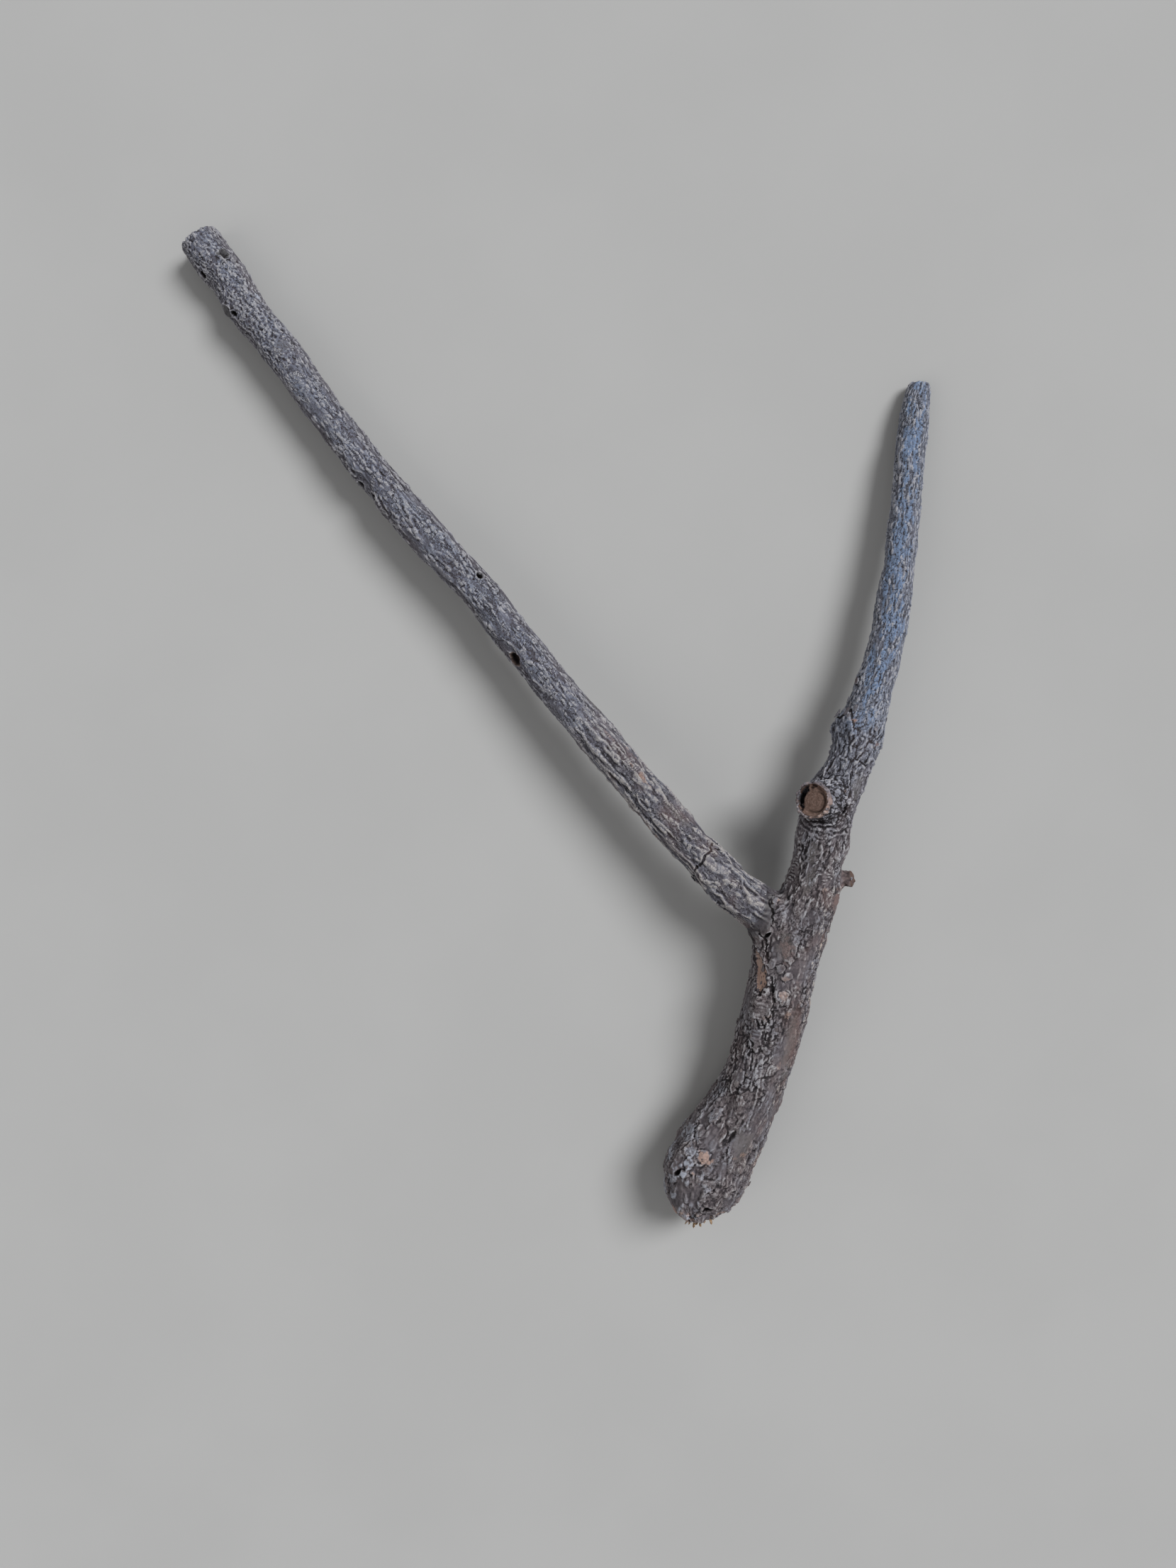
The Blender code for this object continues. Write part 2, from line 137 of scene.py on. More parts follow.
longLimb = {
    "tone": {"shade": (0.050, 0.046, 0.055), "plain": (0.130, 0.124, 0.146), "light": (0.230, 0.225, 0.245)},
    "bark": {
        "longNear": {"ridge": (4.4, 50, 1.1, 0.34), "flake": (2.2, 5.5, 0.5, -0.02, 1.0),
                     "plate": (9, 30, 0.25, 0.2), "rugged": (3.0, 9, 0.26), "grain": 0.14,
                     "calm": (9, 9, 30, 0.5, 0), "small": 0.9, "seed": 11},
        "longMiddle": {"ridge": (4.0, 26, 0.5, 0.20), "flake": (2.2, 5.0, 0.6, 0.0, 0.9),
                       "plate": (7, 14, 0.2, 0.3), "rugged": (3.2, 8.0, 0.20), "grain": 0.12,
                       "calm": (9, 9, 24, 0.7, 0), "small": 1.0, "seed": 23},
        "longTip": {"ridge": (2.2, 5.0, 0.36, 0.22), "flake": (1.8, 2.8, 0.4, 0.05, 1.0),
                    "plate": (6, 8, 0.2, 0.2), "rugged": (3.0, 5.0, 0.30), "grain": 0.26,
                    "calm": (8, 8, 12, 0.45, 0), "small": 1.1, "seed": 37},
    },
    "holes": [(-131, 204, 3.2, 1.5, 2.2, 0.3, 0, 0.2), (-120, 157, 2.8, 1.8, 3.0, 0.5, 20, 0.3),
              (-113, 150, 2.3, 1.4, 2.6, 0.4, 0, 0.2), (-49, 104, 2.3, 2.0, 3.4, 0.4, 0, 0.0),
              (-28, 54, 3.8, 2.6, 3.0, 0.5, 0, 0.9), (-193, 256, 1.8, 1.4, 1.6, 0.0, 0, 0.0),
              (-212, 279, 2.2, 1.3, 1.3, 0.4, 0, 0.4), (124, -112, 3.4, 1.2, 1.6, 0.4, 30, 0.0)],
    # rise of the ring, sink of the middle
    "knots": [(-199, 290, 3.4, 3.0, 0.8, 1.2), (-197, 258, 3.4, 2.8, 1.0, -0.8)],
    "cracks": [
        (0.52, 1.6, [(91, -57), (90, -61), (86, -64), (85, -68), (81, -72), (80, -79)]),
        (0.3, 0.8, [(96, -61), (93, -60), (90, -58)]),
        (0.35, 0.9, [(-108, 165), (-105, 162), (-102, 163), (-99, 161)]),
        (0.3, 0.8, [(-60, 96), (-57, 99), (-53, 101)]),
        (0.4, 1.0, [(124, -90), (127, -98), (126, -106)]),
    ],
    "ladders": [(43, -10, 13, 1.7, 1.8, 0.35, 0), (53, -49, 11, 1.9, 1.9, 0.35, 0),
                (29, 7, 8, 1.5, 1.7, 0.3, 0)],
    "balds": [(-164, 236, 4, 6, 0), (70, -40, 12, 2.2, 0), (20, 26, 11, 2.2, 0)],
    "stains": [("tan", 48, -16, 7.0, 1.7, 0.55, 0), ("tan", 43, -3, 7.0, 1.5, 0.5, 0),
               ("tan", 53, -49, 9.0, 1.9, 0.5, 0), ("tan", 29, 7, 6.0, 1.4, 0.4, 0),
               ("white", -179, 266, 3.5, 2.0, 0.7, 0), ("white", -212, 300, 6.0, 5.0, 0.25, 0)],
}

shortLimb = {
    "tone": {"shade": (0.060, 0.063, 0.078), "plain": (0.164, 0.175, 0.216), "light": (0.265, 0.290, 0.355)},
    "bark": {
        "shortUpper": {"ridge": (3.4, 14, 0.35, 0.22), "flake": (2.0, 3.6, 0.5, 0.05, 0.9),
                       "plate": (5, 8, 0.2, 0.1), "rugged": (3.0, 5.5, 0.22), "grain": 0.15,
                       "calm": (8, 8, 20, 0.5, 0), "small": 0.9, "seed": 41},
        "shortLower": {"ridge": (4.5, 9.0, 0.8, 0.28), "flake": (2.2, 3.4, 0.5, 0.0, 0.5),
                       "plate": (5.0, 7, 0.7, 0.6), "rugged": (4.0, 6.0, 0.44), "grain": 0.18,
                       "calm": (11, 11, 15, 0.8, 0.05), "small": 0.5, "seed": 53},
    },
    "holes": [(213, 109, 2.8, 1.6, 2.0, 0.2, 0, 0.0), (168, -34, 3.4, 2.2, 2.8, 0.0, 0, 0.0)],
    "cracks": [
        (0.3, 0.9, [(173, -3), (177, -6), (180, -9), (184, -14)]),
        (0.25, 0.6, [(177, -6), (178, -2), (181, 1)]),
        (0.35, 1.0, [(163, 22), (167, 19), (171, 21)]),
    ],
    "plates": [(128, -90, 2.8, 2.6, 0.9, 0), (177, 41, 2.4, 2.0, 1.0, 0), (162, 28, 5.0, 4.0, 0.8, 0)],
    "ladders": [(141, -73, 11.5, 3.8, 2.0, 0.8, 6), (159, -76, 6.0, 3.4, 2.2, 0.7, 0),
                (151, -51, 2.6, 5.5, 2.6, 0.8, 0), (161, -47, 3.4, 4.5, 2.6, 0.8, 30),
                (196, 126, 2.6, 3.2, 1.7, 0.3, 0)],
    "balds": [(150, -60, 8.0, 3.2, 0), (149, -77, 9.0, 3.0, 0), (177, -22, 10, 4.0, 0),
              (167, -93, 9.0, 4.0, 0)],
    "stains": [("tan", 175, 17, 2.0, 1.6, 0.8, 0), ("red", 189, 3, 3.2, 2.2, 0.8, 0),
               ("tan", 167, -22, 2.0, 1.6, 0.8, 0), ("tan", 128, -91, 2.4, 2.2, 0.8, 0),
               ("red", 167, -92, 10, 5.0, 0.9, 0), ("tan", 157, -84, 3.5, 2.0, 0.5, 0),
               ("white", 219, 221, 4.0, 4.0, 0.5, 0)],
    "ledge": {"at": (170, 24), "long": 8.0, "wide": 7.5, "rise": 1.6},
}


# numbers that come out the same each run, worked out from places

def hashed(ix, iy, iz, seed):
    h = (ix * 374761393 + iy * 668265263 + iz * 1440662683 + seed * 974711) & 0xffffffff
    h = ((h ^ (h >> 13)) * 1274126177) & 0xffffffff
    h = ((h ^ (h >> 15)) * 1911520717) & 0xffffffff
    return h ^ (h >> 16)


def threeFrom(h):
    return (h & 1023) / 1023.0, ((h >> 10) & 1023) / 1023.0, ((h >> 20) & 1023) / 1023.0


def wave(points, sizes, seed):        # smooth noise, from about -1 to 1, with one size or three
    q = points / np.asarray(sizes, dtype=float)
    cell = np.floor(q).astype(np.int64)
    f = q - cell
    fade = f * f * f * (f * (f * 6 - 15) + 10)
    total = np.zeros(len(q))
    for corner in range(8):
        step = np.array([corner & 1, (corner >> 1) & 1, corner >> 2])
        gx, gy, gz = threeFrom(hashed(*(cell + step).T, seed))
        toward = f - step
        slope = (gx * 2 - 1) * toward[:, 0] + (gy * 2 - 1) * toward[:, 1] + (gz * 2 - 1) * toward[:, 2]
        total += slope * np.prod(np.where(step, fade, 1 - fade), axis=1)
    return total * 1.7


def roughWave(points, sizes, seed, octaves=3):
    total = np.zeros(len(points))
    for k in range(octaves):
        total += wave(points, np.asarray(sizes) / 1.9 ** k, seed + k) * 0.55 ** k
    return total


def swayOf(points, sizes, seed, reach):        # a smooth push, with its own wave for each direction
    return np.stack([wave(points, sizes, seed + k) for k in range(3)], axis=1) * reach


def cells(points, sizes, seed, loose=0.9):        # how near the two closest grains lie, and the closest's lot
    q = points / np.asarray(sizes, dtype=float)
    cell = np.floor(q).astype(np.int64)
    f = q - cell
    nearest = np.full(len(q), 9.0)
    second = np.full(len(q), 9.0)
    pick = np.zeros(len(q), dtype=np.int64)
    for dx in (-1, 0, 1):
        for dy in (-1, 0, 1):
            for dz in (-1, 0, 1):
                h = hashed(cell[:, 0] + dx, cell[:, 1] + dy, cell[:, 2] + dz, seed)
                rx, ry, rz = threeFrom(h)
                d = (dx + 0.5 + (rx - 0.5) * loose - f[:, 0]) ** 2
                d += (dy + 0.5 + (ry - 0.5) * loose - f[:, 1]) ** 2
                d += (dz + 0.5 + (rz - 0.5) * loose - f[:, 2]) ** 2
                closer = d < nearest
                second = np.where(closer, nearest, np.minimum(second, d))
                pick = np.where(closer, h, pick)
                nearest = np.where(closer, d, nearest)
    lot = (((pick * 40503) >> 7) & 1023) / 1023.0
    return np.sqrt(nearest), np.sqrt(second), lot


def ease(low, high, value):
    t = np.clip((value - low) / (high - low), 0, 1)
    return t * t * (3 - 2 * t)


def hump(value, middle, width):
    return np.exp(-((value - middle) / width) ** 2)


# the base skin, made from the frame's three solids

forkSides = {"stem": ("rightOfFork", "leftArmpit"), "long_limb": ("leftArmpit", "betweenLimbs"),
             "short_limb": ("betweenLimbs", "rightOfFork")}


def forkLines():
    crotch = np.array(fork["crotch"])
    lines = {}
    for name in ("leftArmpit", "rightOfFork", "betweenLimbs"):
        line = np.array(fork[name]) - crotch
        lines[name] = line / np.linalg.norm(line)
    return crotch, lines


def fromCrotch(points):        # how far each point lies from the crotch, seen from above
    return np.linalg.norm(points[:, :2] - np.array(fork["crotch"]), axis=1)


def nodeShape(name):        # a frame solid in mm, its cut faces pushed past the gap at the fork
    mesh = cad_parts[name].data
    mesh.calc_loop_triangles()
    points = np.zeros(len(mesh.vertices) * 3)
    mesh.vertices.foreach_get("co", points)
    points = points.reshape(-1, 3) / mm
    faces = np.zeros(len(mesh.loop_triangles) * 3, dtype=np.int64)
    mesh.loop_triangles.foreach_get("vertices", faces)
    crotch, lines = forkLines()
    middle = sum(lines[side] for side in forkSides[name])
    for side in forkSides[name]:
        line = lines[side]
        out = np.array([-line[1], line[0]])
        out = out if out @ middle < 0 else -out
        away = points[:, :2] - crotch
        onCut = (np.abs(away @ out + fork["halfGap"]) < 0.04) & (away @ line > -1)
        points[onCut, :2] += out * fork["reachAcross"]
    return points, faces.reshape(-1, 3)


def wholeSkin():
    allPoints, allFaces, count = [], [], 0
    for name in forkSides:
        points, faces = nodeShape(name)
        allPoints.append(points)
        allFaces.append(faces + count)
        count += len(points)
    mesh = bpy.data.meshes.new("rough_skin")
    mesh.from_pydata(np.vstack(allPoints) * mm, [], np.vstack(allFaces).tolist())
    rough = bpy.data.objects.new("rough_skin", mesh)
    bpy.context.scene.collection.objects.link(rough)
    remesh = rough.modifiers.new("one_skin", "REMESH")
    remesh.mode = "VOXEL"
    remesh.voxel_size = skin["voxel"] * mm
    bpy.context.view_layer.update()
    done = rough.evaluated_get(bpy.context.evaluated_depsgraph_get()).to_mesh()
    points = np.zeros(len(done.vertices) * 3)
    done.vertices.foreach_get("co", points)
    quads = np.zeros(len(done.loops), dtype=np.int64)
    done.loops.foreach_get("vertex_index", quads)
    bpy.data.objects.remove(rough, do_unlink=True)
    return points.reshape(-1, 3) / mm, quads.reshape(-1, 4)


def edgesOf(quads):
    pairs = np.vstack([quads[:, [0, 1]], quads[:, [1, 2]], quads[:, [2, 3]], quads[:, [3, 0]]])
    pairs.sort(axis=1)
    return np.unique(pairs, axis=0)


def aroundMean(values, edges):        # each point's mean over its neighbours
    a = np.concatenate([edges[:, 0], edges[:, 1]])
    b = np.concatenate([edges[:, 1], edges[:, 0]])
    count = len(values)
    number = np.maximum(np.bincount(a, minlength=count), 1)
    if values.ndim == 1:
        return np.bincount(a, weights=values[b], minlength=count) / number
    return np.stack([np.bincount(a, weights=values[b, k], minlength=count) / number
                     for k in range(values.shape[1])], axis=1)


def blurred(values, edges, rounds):
    for k in range(rounds):
        values = 0.4 * values + 0.6 * aroundMean(values, edges)
    return values


def normalsOf(points, quads):
    across = np.cross(points[quads[:, 2]] - points[quads[:, 0]], points[quads[:, 3]] - points[quads[:, 1]])
    total = np.stack([np.bincount(quads.ravel(), weights=np.repeat(across[:, k], 4), minlength=len(points))
                      for k in range(3)], axis=1)
    return total / np.maximum(np.linalg.norm(total, axis=1, keepdims=True), 1e-9)


def alongLine(points, base, face):        # how far past a stub's face each point is, and how far off its line
    base, face = np.array(base, dtype=float), np.array(face, dtype=float)
    length = np.linalg.norm(face - base)
    forward = (face - base) / length
    along = (points - base) @ forward
    off = points - base - along[:, None] * forward
    return along - length, np.linalg.norm(off, axis=1), off, forward


def smoothedSkin(points, quads, edges):
    beyond, off = alongLine(points, stub["base"], stub["face"])[:2]
    give = 1 - skin["keptAtStub"] * ease(-10, -5, beyond) * ease(16, 13, off)
    for name, size in skin["endSizes"]:
        away = np.linalg.norm(points - np.array(ends[name]), axis=1)
        give *= 1 - skin["keptAtEnds"] * ease(size, size * 0.6, away)
    for k in range(skin["smoothing"]):
        points = points + (aroundMean(points, edges) - points) * (skin["step"] * give)[:, None]
    return points + normalsOf(points, quads) * skin["swell"]


# where every point lies on its limb

limbs = {"leader": {"nodes": ("stem", "short_limb"), "toward": (0.0, 1.0, 0.0), "top": 56.0, "bends": 8},
         "long": {"nodes": ("long_limb",), "toward": (-0.655, 0.755, 0.0), "top": 56.0, "bends": 6}}
slices = {"thick": 13.0, "fewestPoints": 20, "pastEnds": 20}


def centreLine(limb):        # the middle of the limb every mm, from the frame's solids
    points = np.vstack([nodeShape(name)[0] for name in limb["nodes"]])
    points = points[points[:, 2] < limb["top"]]
    far = points @ np.array(limb["toward"])
    places, middles = [], []
    for low in np.arange(far.min(), far.max(), slices["thick"]):
        inside = (far >= low) & (far < low + slices["thick"])
        if inside.sum() > slices["fewestPoints"]:
            places.append(far[inside].mean())
            middles.append(points[inside].mean(axis=0))
    places, middles = np.array(places), np.array(middles)
    span = np.arange(far.min() - slices["pastEnds"], far.max() + slices["pastEnds"], 1.0)
    scaled = (places - places.mean()) / 100
    inner = np.clip(span, places[0], places[-1])
    at = (inner - places.mean()) / 100
    line = []
    for k in range(3):
        fit = np.polyfit(scaled, middles[:, k], limb["bends"])
        line.append(np.polyval(fit, at) + np.polyval(np.polyder(fit), at) / 100 * (span - inner))
    return np.stack(line, axis=1)


def onLimb(points, limb):
    line = centreLine(limb)
    steps = np.linalg.norm(np.diff(line, axis=0), axis=1)
    lengths = np.concatenate([[0.0], np.cumsum(steps)])
    tangents = np.gradient(line, lengths, axis=0)
    tangents /= np.linalg.norm(tangents, axis=1, keepdims=True)
    toward = np.array(limb["toward"])
    along = np.interp(points @ toward, line @ toward, lengths)

    def read(rows):
        return np.stack([np.interp(along, lengths, rows[:, k]) for k in range(3)], axis=1)

    for k in range(5):
        along = along + np.sum((points - read(line)) * read(tangents), axis=1)
        along = np.clip(along, 0, lengths[-1])
    forward = read(tangents)
    side = np.cross(forward, (0, 0, 1))
    side /= np.linalg.norm(side, axis=1, keepdims=True)
    rise = np.cross(side, forward)
    off = points - read(line)
    angle = np.arctan2(np.sum(off * rise, axis=1), np.sum(off * side, axis=1))
    return {"along": along, "angle": angle, "off": np.linalg.norm(off, axis=1), "forward": forward}


def limbPlaces(branch):        # the angle round the limb on a circle of its size, and the length along it
    points = branch["points"]
    leader, long = onLimb(points, limbs["leader"]), onLimb(points, limbs["long"])
    sizes = np.interp(points[:, 1], *leaderSizes)
    for place, r in ((leader, sizes), (long, np.full(len(points), longSize))):
        angle = place["angle"]
        place["flat"] = np.stack([np.cos(angle) * r, np.sin(angle) * r, place["along"]], axis=1)
    long["flat"][:, 0] += 300        # so the two limbs have different noise
    crotch, lines = forkLines()
    beyond = (points[:, :2] - crotch) @ (lines["leftArmpit"] + lines["betweenLimbs"])
    lead = leader["off"] / sizes - long["off"] / longSize
    branch["onLong"] = ease(-0.25, 0.25, lead + 0.02 * np.clip(beyond, -12, 12)) * ease(-40, -14, beyond)
    branch["leader"], branch["long"] = leader, long
    share = branch["onLong"][:, None]
    forward = leader["forward"] * (1 - share) + long["forward"] * share
    branch["forward"] = forward / np.linalg.norm(forward, axis=1, keepdims=True)


# bark

barkKeys = ("high", "pale", "calm", "line", "lot", "small", "tan", "pink", "red", "white", "hole", "brown",
            "dull", "bald", "wood")


def barkOf(flat, bark):
    seed = bark["seed"]
    sway = swayOf(flat, (12, 12, 26), seed + 1, (1.8, 1.8, 3.0))
    sway += swayOf(flat, (3.4, 3.4, 5.5), seed + 4, (0.75, 0.75, 1.2))
    at = flat + sway
    calm = ease(0.10, 0.55, roughWave(flat, bark["calm"][:3], seed + 20, 2) + bark["calm"][4]) * bark["calm"][3]
    across, length, ridgeHigh, width = bark["ridge"]
    crest = ease(width, width * 0.25, np.abs(wave(at, (across, across, length), seed + 7)))
    crest *= ease(-0.35, 0.05, wave(at, (5, 5, 12), seed + 11)) * (1 - 0.6 * calm)
    wide, long, flakeHigh, more, pale = bark["flake"]
    near, second, lot = cells(at, (wide, wide, long), seed + 8)
    grown = ease(0.48, 0.60, lot + more + 0.25 * crest - 0.25 * calm)
    flake = grown * ease(0.68, 0.28, near) * ease(0.0, 0.25, second - near)
    wide, long, plateHigh, split = bark["plate"]
    ragged = at + swayOf(flat, (2.2, 2.2, 2.8), seed + 12, 1.0)
    near, second, lot = cells(ragged, (wide, wide, long), seed + 9)
    gap = second - near
    body = ease(0.02, 0.30, gap) * (0.35 + 0.65 * lot) * (1 - 0.65 * calm)
    broken = ease(-0.45, 0.25, wave(at, (5, 5, 7), seed + 17)) * (1 - 0.8 * calm)
    wide, long, rough = bark["rugged"]
    lumps = 1 - 2 * np.abs(wave(at, (wide, wide, long), seed + 15))
    lumps += 0.55 * (1 - 2.4 * np.abs(wave(at, (wide * 0.45, wide * 0.45, long * 0.4), seed + 16)))
    grain = roughWave(flat, (1.6, 1.6, 2.2), seed + 10, 2)
    high = ridgeHigh * crest + flakeHigh * flake + plateHigh * body
    high += rough * lumps * (1 - 0.75 * calm) + bark["grain"] * grain * (1 - 0.5 * calm)
    return {"high": high - high.mean(), "pale": pale * np.maximum(flake, 0.85 * crest), "calm": calm,
            "line": split * broken * ease(0.20, 0.04, gap), "lot": split * (lot - 0.5) * ease(0.02, 0.16, gap)}


def barkShares(branch):
    points, onLong = branch["points"], branch["onLong"]
    away = fromCrotch(points)
    tip, near = (ease(*barkEdges[name], away) for name in ("longTip", "longNear"))
    butt, low, upper = (ease(*barkEdges[name], points[:, 1]) for name in ("butt", "low", "upper"))
    return {"longNear": onLong * near, "longMiddle": onLong * (1 - near) * (1 - tip), "longTip": onLong * tip,
            "shortUpper": (1 - onLong) * upper, "shortLower": (1 - onLong) * low * (1 - upper),
            "stem": (1 - onLong) * (1 - low) * (1 - butt), "butt": (1 - onLong) * butt}


def growBark(branch):
    for key in barkKeys:
        branch[key] = np.zeros(len(branch["points"]))
    shares = barkShares(branch)
    for piece in (stem, longLimb, shortLimb):
        for name, bark in piece["bark"].items():
            share = shares[name]
            there = share > 0.001
            flat = branch["long" if piece is longLimb else "leader"]["flat"][there]
            for key, value in barkOf(flat, bark).items():
                branch[key][there] += value * share[there]
            branch["small"] += bark["small"] * share


# single marks

def topPoint(points, x, y):
    away = np.hypot(points[:, 0] - x, points[:, 1] - y)
    return int(np.argmax(np.where(away < 3, points[:, 2], 0) - 4 * away))


def axesAt(branch, k):        # along the limb, across it and out of it, at one point of the skin
    out = branch["outward"][k]
    side = np.cross(branch["forward"][k], out)
    side /= np.linalg.norm(side)
    return np.cross(out, side), side, out


def spot(branch, x, y, reach):        # the points near the place on top at x, y, and how far along and across
    points = branch["points"]
    k = topPoint(points, x, y)
    forward, side, out = axesAt(branch, k)
    close = np.nonzero(np.linalg.norm(points - points[k], axis=1) < reach)[0]
    close = close[branch["outward"][close] @ out > -0.1]
    rel = points[close] - points[k]
    return close, rel @ forward, rel @ side


def oval(branch, x, y, long, wide, turn, ragged):        # 1 on the oval's edge and less inside
    close, u, v = spot(branch, x, y, 1.7 * max(long, wide) + 4)
    c, s = math.cos(math.radians(turn)), math.sin(math.radians(turn))
    rough = roughWave(branch["points"][close], 4, 5 + int(abs(x)), 3)
    return close, np.hypot((u * c + v * s) / long, (v * c - u * s) / wide) + ragged * rough, u, v


def mostOf(branch, key, close, value):
    branch[key][close] = np.maximum(branch[key][close], value)


def markBald(branch, x, y, long, wide, turn):
    close, e = oval(branch, x, y, long, wide, turn, 0.5)[:2]
    inside = ease(1.2, 0.6, e)
    for key, less in (("high", 0.6), ("pale", 0.75), ("line", 0.7)):
        branch[key][close] *= 1 - less * inside
    mostOf(branch, "bald", close, inside)


def markPlate(branch, x, y, long, wide, rise, turn):
    close, e = oval(branch, x, y, long, wide, turn, 0.45)[:2]
    high, inside = branch["high"], ease(1.0, 0.8, e)
    foot = hump(e, 1.07, 0.10) * ease(-0.6, 0.2, wave(branch["points"][close], 4, 95))
    high[close] += inside * (rise * 0.7 - 0.4 * high[close]) - foot * 0.8
    branch["line"][close] *= 1 - 0.6 * inside
    mostOf(branch, "line", close, foot * 0.75)
    mostOf(branch, "pale", close, inside * 0.15)


def markLadder(branch, x, y, long, wide, step, rise, turn):        # bark wrinkled into rungs
    close, e, u, v = oval(branch, x, y, long, wide, turn, 0.14)
    inside = ease(1.05, 0.75, e)
    at = branch["points"][close]
    shift = 0.9 * wave(at, 3, 91) + 0.06 * v * v
    rung = np.sin(fullTurn * (u + shift) / step) * ease(-0.5, 0.3, wave(at, 4, 93))
    high, pale = branch["high"], branch["pale"]
    high[close] += inside * (rise * (0.3 + 0.7 * rung) - 0.55 * high[close])
    pale[close] = pale[close] * (1 - inside) + inside * ease(-0.5, 0.5, rung) * 0.5
    branch["line"][close] *= 1 - 0.7 * inside
    mostOf(branch, "line", close, inside * ease(-0.4, -0.95, rung) * 0.45)


def markStain(branch, colour, x, y, long, wide, strength, turn):
    close, e = oval(branch, x, y, long, wide, turn, 0.8)[:2]
    mostOf(branch, colour, close, ease(1.35, 0.35, e) * strength * ease(-0.9, 0.1, branch["high"][close]))


def markHole(branch, x, y, long, wide, depth, rim, turn, brown):
    close, e = oval(branch, x, y, long, wide, turn, 0.30)[:2]
    high = branch["high"]
    high[close] += rim * hump(e, 1.3, 0.25) - ease(1.15, 0.5, e) * (depth + 0.5 * high[close])
    # painted shade: the inside of the hole is painted near black
    mostOf(branch, "hole", close, ease(1.2, 0.8, e) * (1 - 0.2 * brown))
    mostOf(branch, "brown", close, ease(1.6, 1.1, e) * brown)
    for key in ("pale", "white"):
        branch[key][close] *= ease(0.9, 1.3, e)


def markKnot(branch, x, y, long, wide, rise, sink):
    close, e = oval(branch, x, y, long, wide, 0, 0.4)[:2]
    high = branch["high"]
    high[close] += rise * hump(e, 1.0, 0.3) - ease(0.95, 0.5, e) * (sink + 0.4 * high[close])
    mostOf(branch, "dull", close, ease(1.25, 0.8, e))
    # painted shade in the knot's sunken middle
    mostOf(branch, "hole", close, ease(0.9, 0.3, e) * ease(-1.5, 1.5, sink) * 0.6)
    broken = ease(-0.4, 0.3, wave(branch["points"][close], 3, 97))
    mostOf(branch, "line", close, hump(e, 1.3, 0.16) * broken)


def markCrack(branch, width, depth, way):
    points = branch["points"]
    spots = np.array([points[topPoint(points, x, y)] for x, y in way])
    close = np.nonzero(np.linalg.norm(points - spots.mean(axis=0), axis=1) < 28)[0]
    q = points[close] + swayOf(points[close], 2.6, 71, 1.1)
    distance = np.full(len(close), 9.0)
    for a, b in zip(spots, spots[1:]):
        share = np.clip((q - a) @ (b - a) / ((b - a) @ (b - a)), 0, 1)
        distance = np.minimum(distance, np.linalg.norm(q - a - share[:, None] * (b - a), axis=1))
    branch["high"][close] -= depth * ease(width * 1.9, width * 0.5, distance)
    mostOf(branch, "line", close, ease(width * 1.9, width * 0.9, distance) * 1.2)


def markPiece(branch, piece):
    for kind, mark in (("balds", markBald), ("plates", markPlate), ("ladders", markLadder),
                       ("stains", markStain), ("holes", markHole), ("knots", markKnot), ("cracks", markCrack)):
        for row in piece.get(kind, ()):
            mark(branch, *row)


def markNotch(branch):        # the torn orange notch in the stem's left edge
    notch = stem["notch"]
    close, e, u = oval(branch, *notch["at"], notch["long"], notch["wide"], notch["turn"], 0.3)[:3]
    at, high = branch["points"][close], branch["high"]
    inside = ease(1.1, 0.8, e)
    fibres = wave(at, (1.6, 1.6, 9), 33) + 0.6 * wave(at + 0.3 * u[:, None], (1.1, 9, 1.1), 34)
    high[close] += inside * (0.6 * fibres - notch["deep"] - high[close])
    high[close] += 0.8 * hump(e, 1.25, 0.2)
    for key in ("line", "pale", "lot"):
        branch[key][close] *= 1 - inside
    torn = ease(-0.8, 0.1, fibres)
    mostOf(branch, "pale", close, inside * torn * 1.2)
    mostOf(branch, "tan", close, inside * torn * 1.3 * ease(6, -4, u))
    mostOf(branch, "pink", close, inside * torn * 1.3)
    mostOf(branch, "brown", close, inside * (1 - torn))
    mostOf(branch, "line", close, hump(e, 1.08, 0.13) * 0.9)


def markWedge(branch):        # the dark wedge where the butt begins to swell
    wedge = stem["wedge"]
    close, e = oval(branch, *wedge["at"], wedge["long"], wedge["wide"], wedge["turn"], 0.3)[:2]
    inside = ease(1.1, 0.4, e)
    branch["high"][close] -= inside * wedge["deep"]
    # painted shade: the wedge's dip is darkened as well as sunk
    mostOf(branch, "line", close, inside * 0.5)


def markLedge(branch):        # the short limb's lifted edge of bark
    ledge = shortLimb["ledge"]
    close, u, v = spot(branch, *ledge["at"], 16)
    edge = u + 1.6 * wave(branch["points"][close], 3.5, 47) + 0.12 * v * v
    band = ease(ledge["wide"] * 1.5, ledge["wide"], np.abs(v))
    branch["high"][close] += band * ledge["rise"] * ease(-ledge["long"], -1.0, edge) * ease(1.2, 0.2, edge)
    # painted shade: a dark line along the foot of the lifted edge
    mostOf(branch, "line", close, band * hump(edge, 1.6, 1.1) * 1.1)


def markCrotch(branch):        # the pinched bark in the crotch
    x, y = fork["crotch"]
    close, u, v = spot(branch, x + 1, y + 2, 15)
    at = branch["points"][close]
    pinch = ease(13, 3, np.hypot(u, v))
    branch["high"][close] += pinch * 0.8 * roughWave(at, 3.2, 61, 2)
    # dark creases in the crotch, partly painted shade where the limbs meet
    mostOf(branch, "line", close, pinch * 0.65 * ease(-0.2, 0.5, wave(at, 3, 63)))


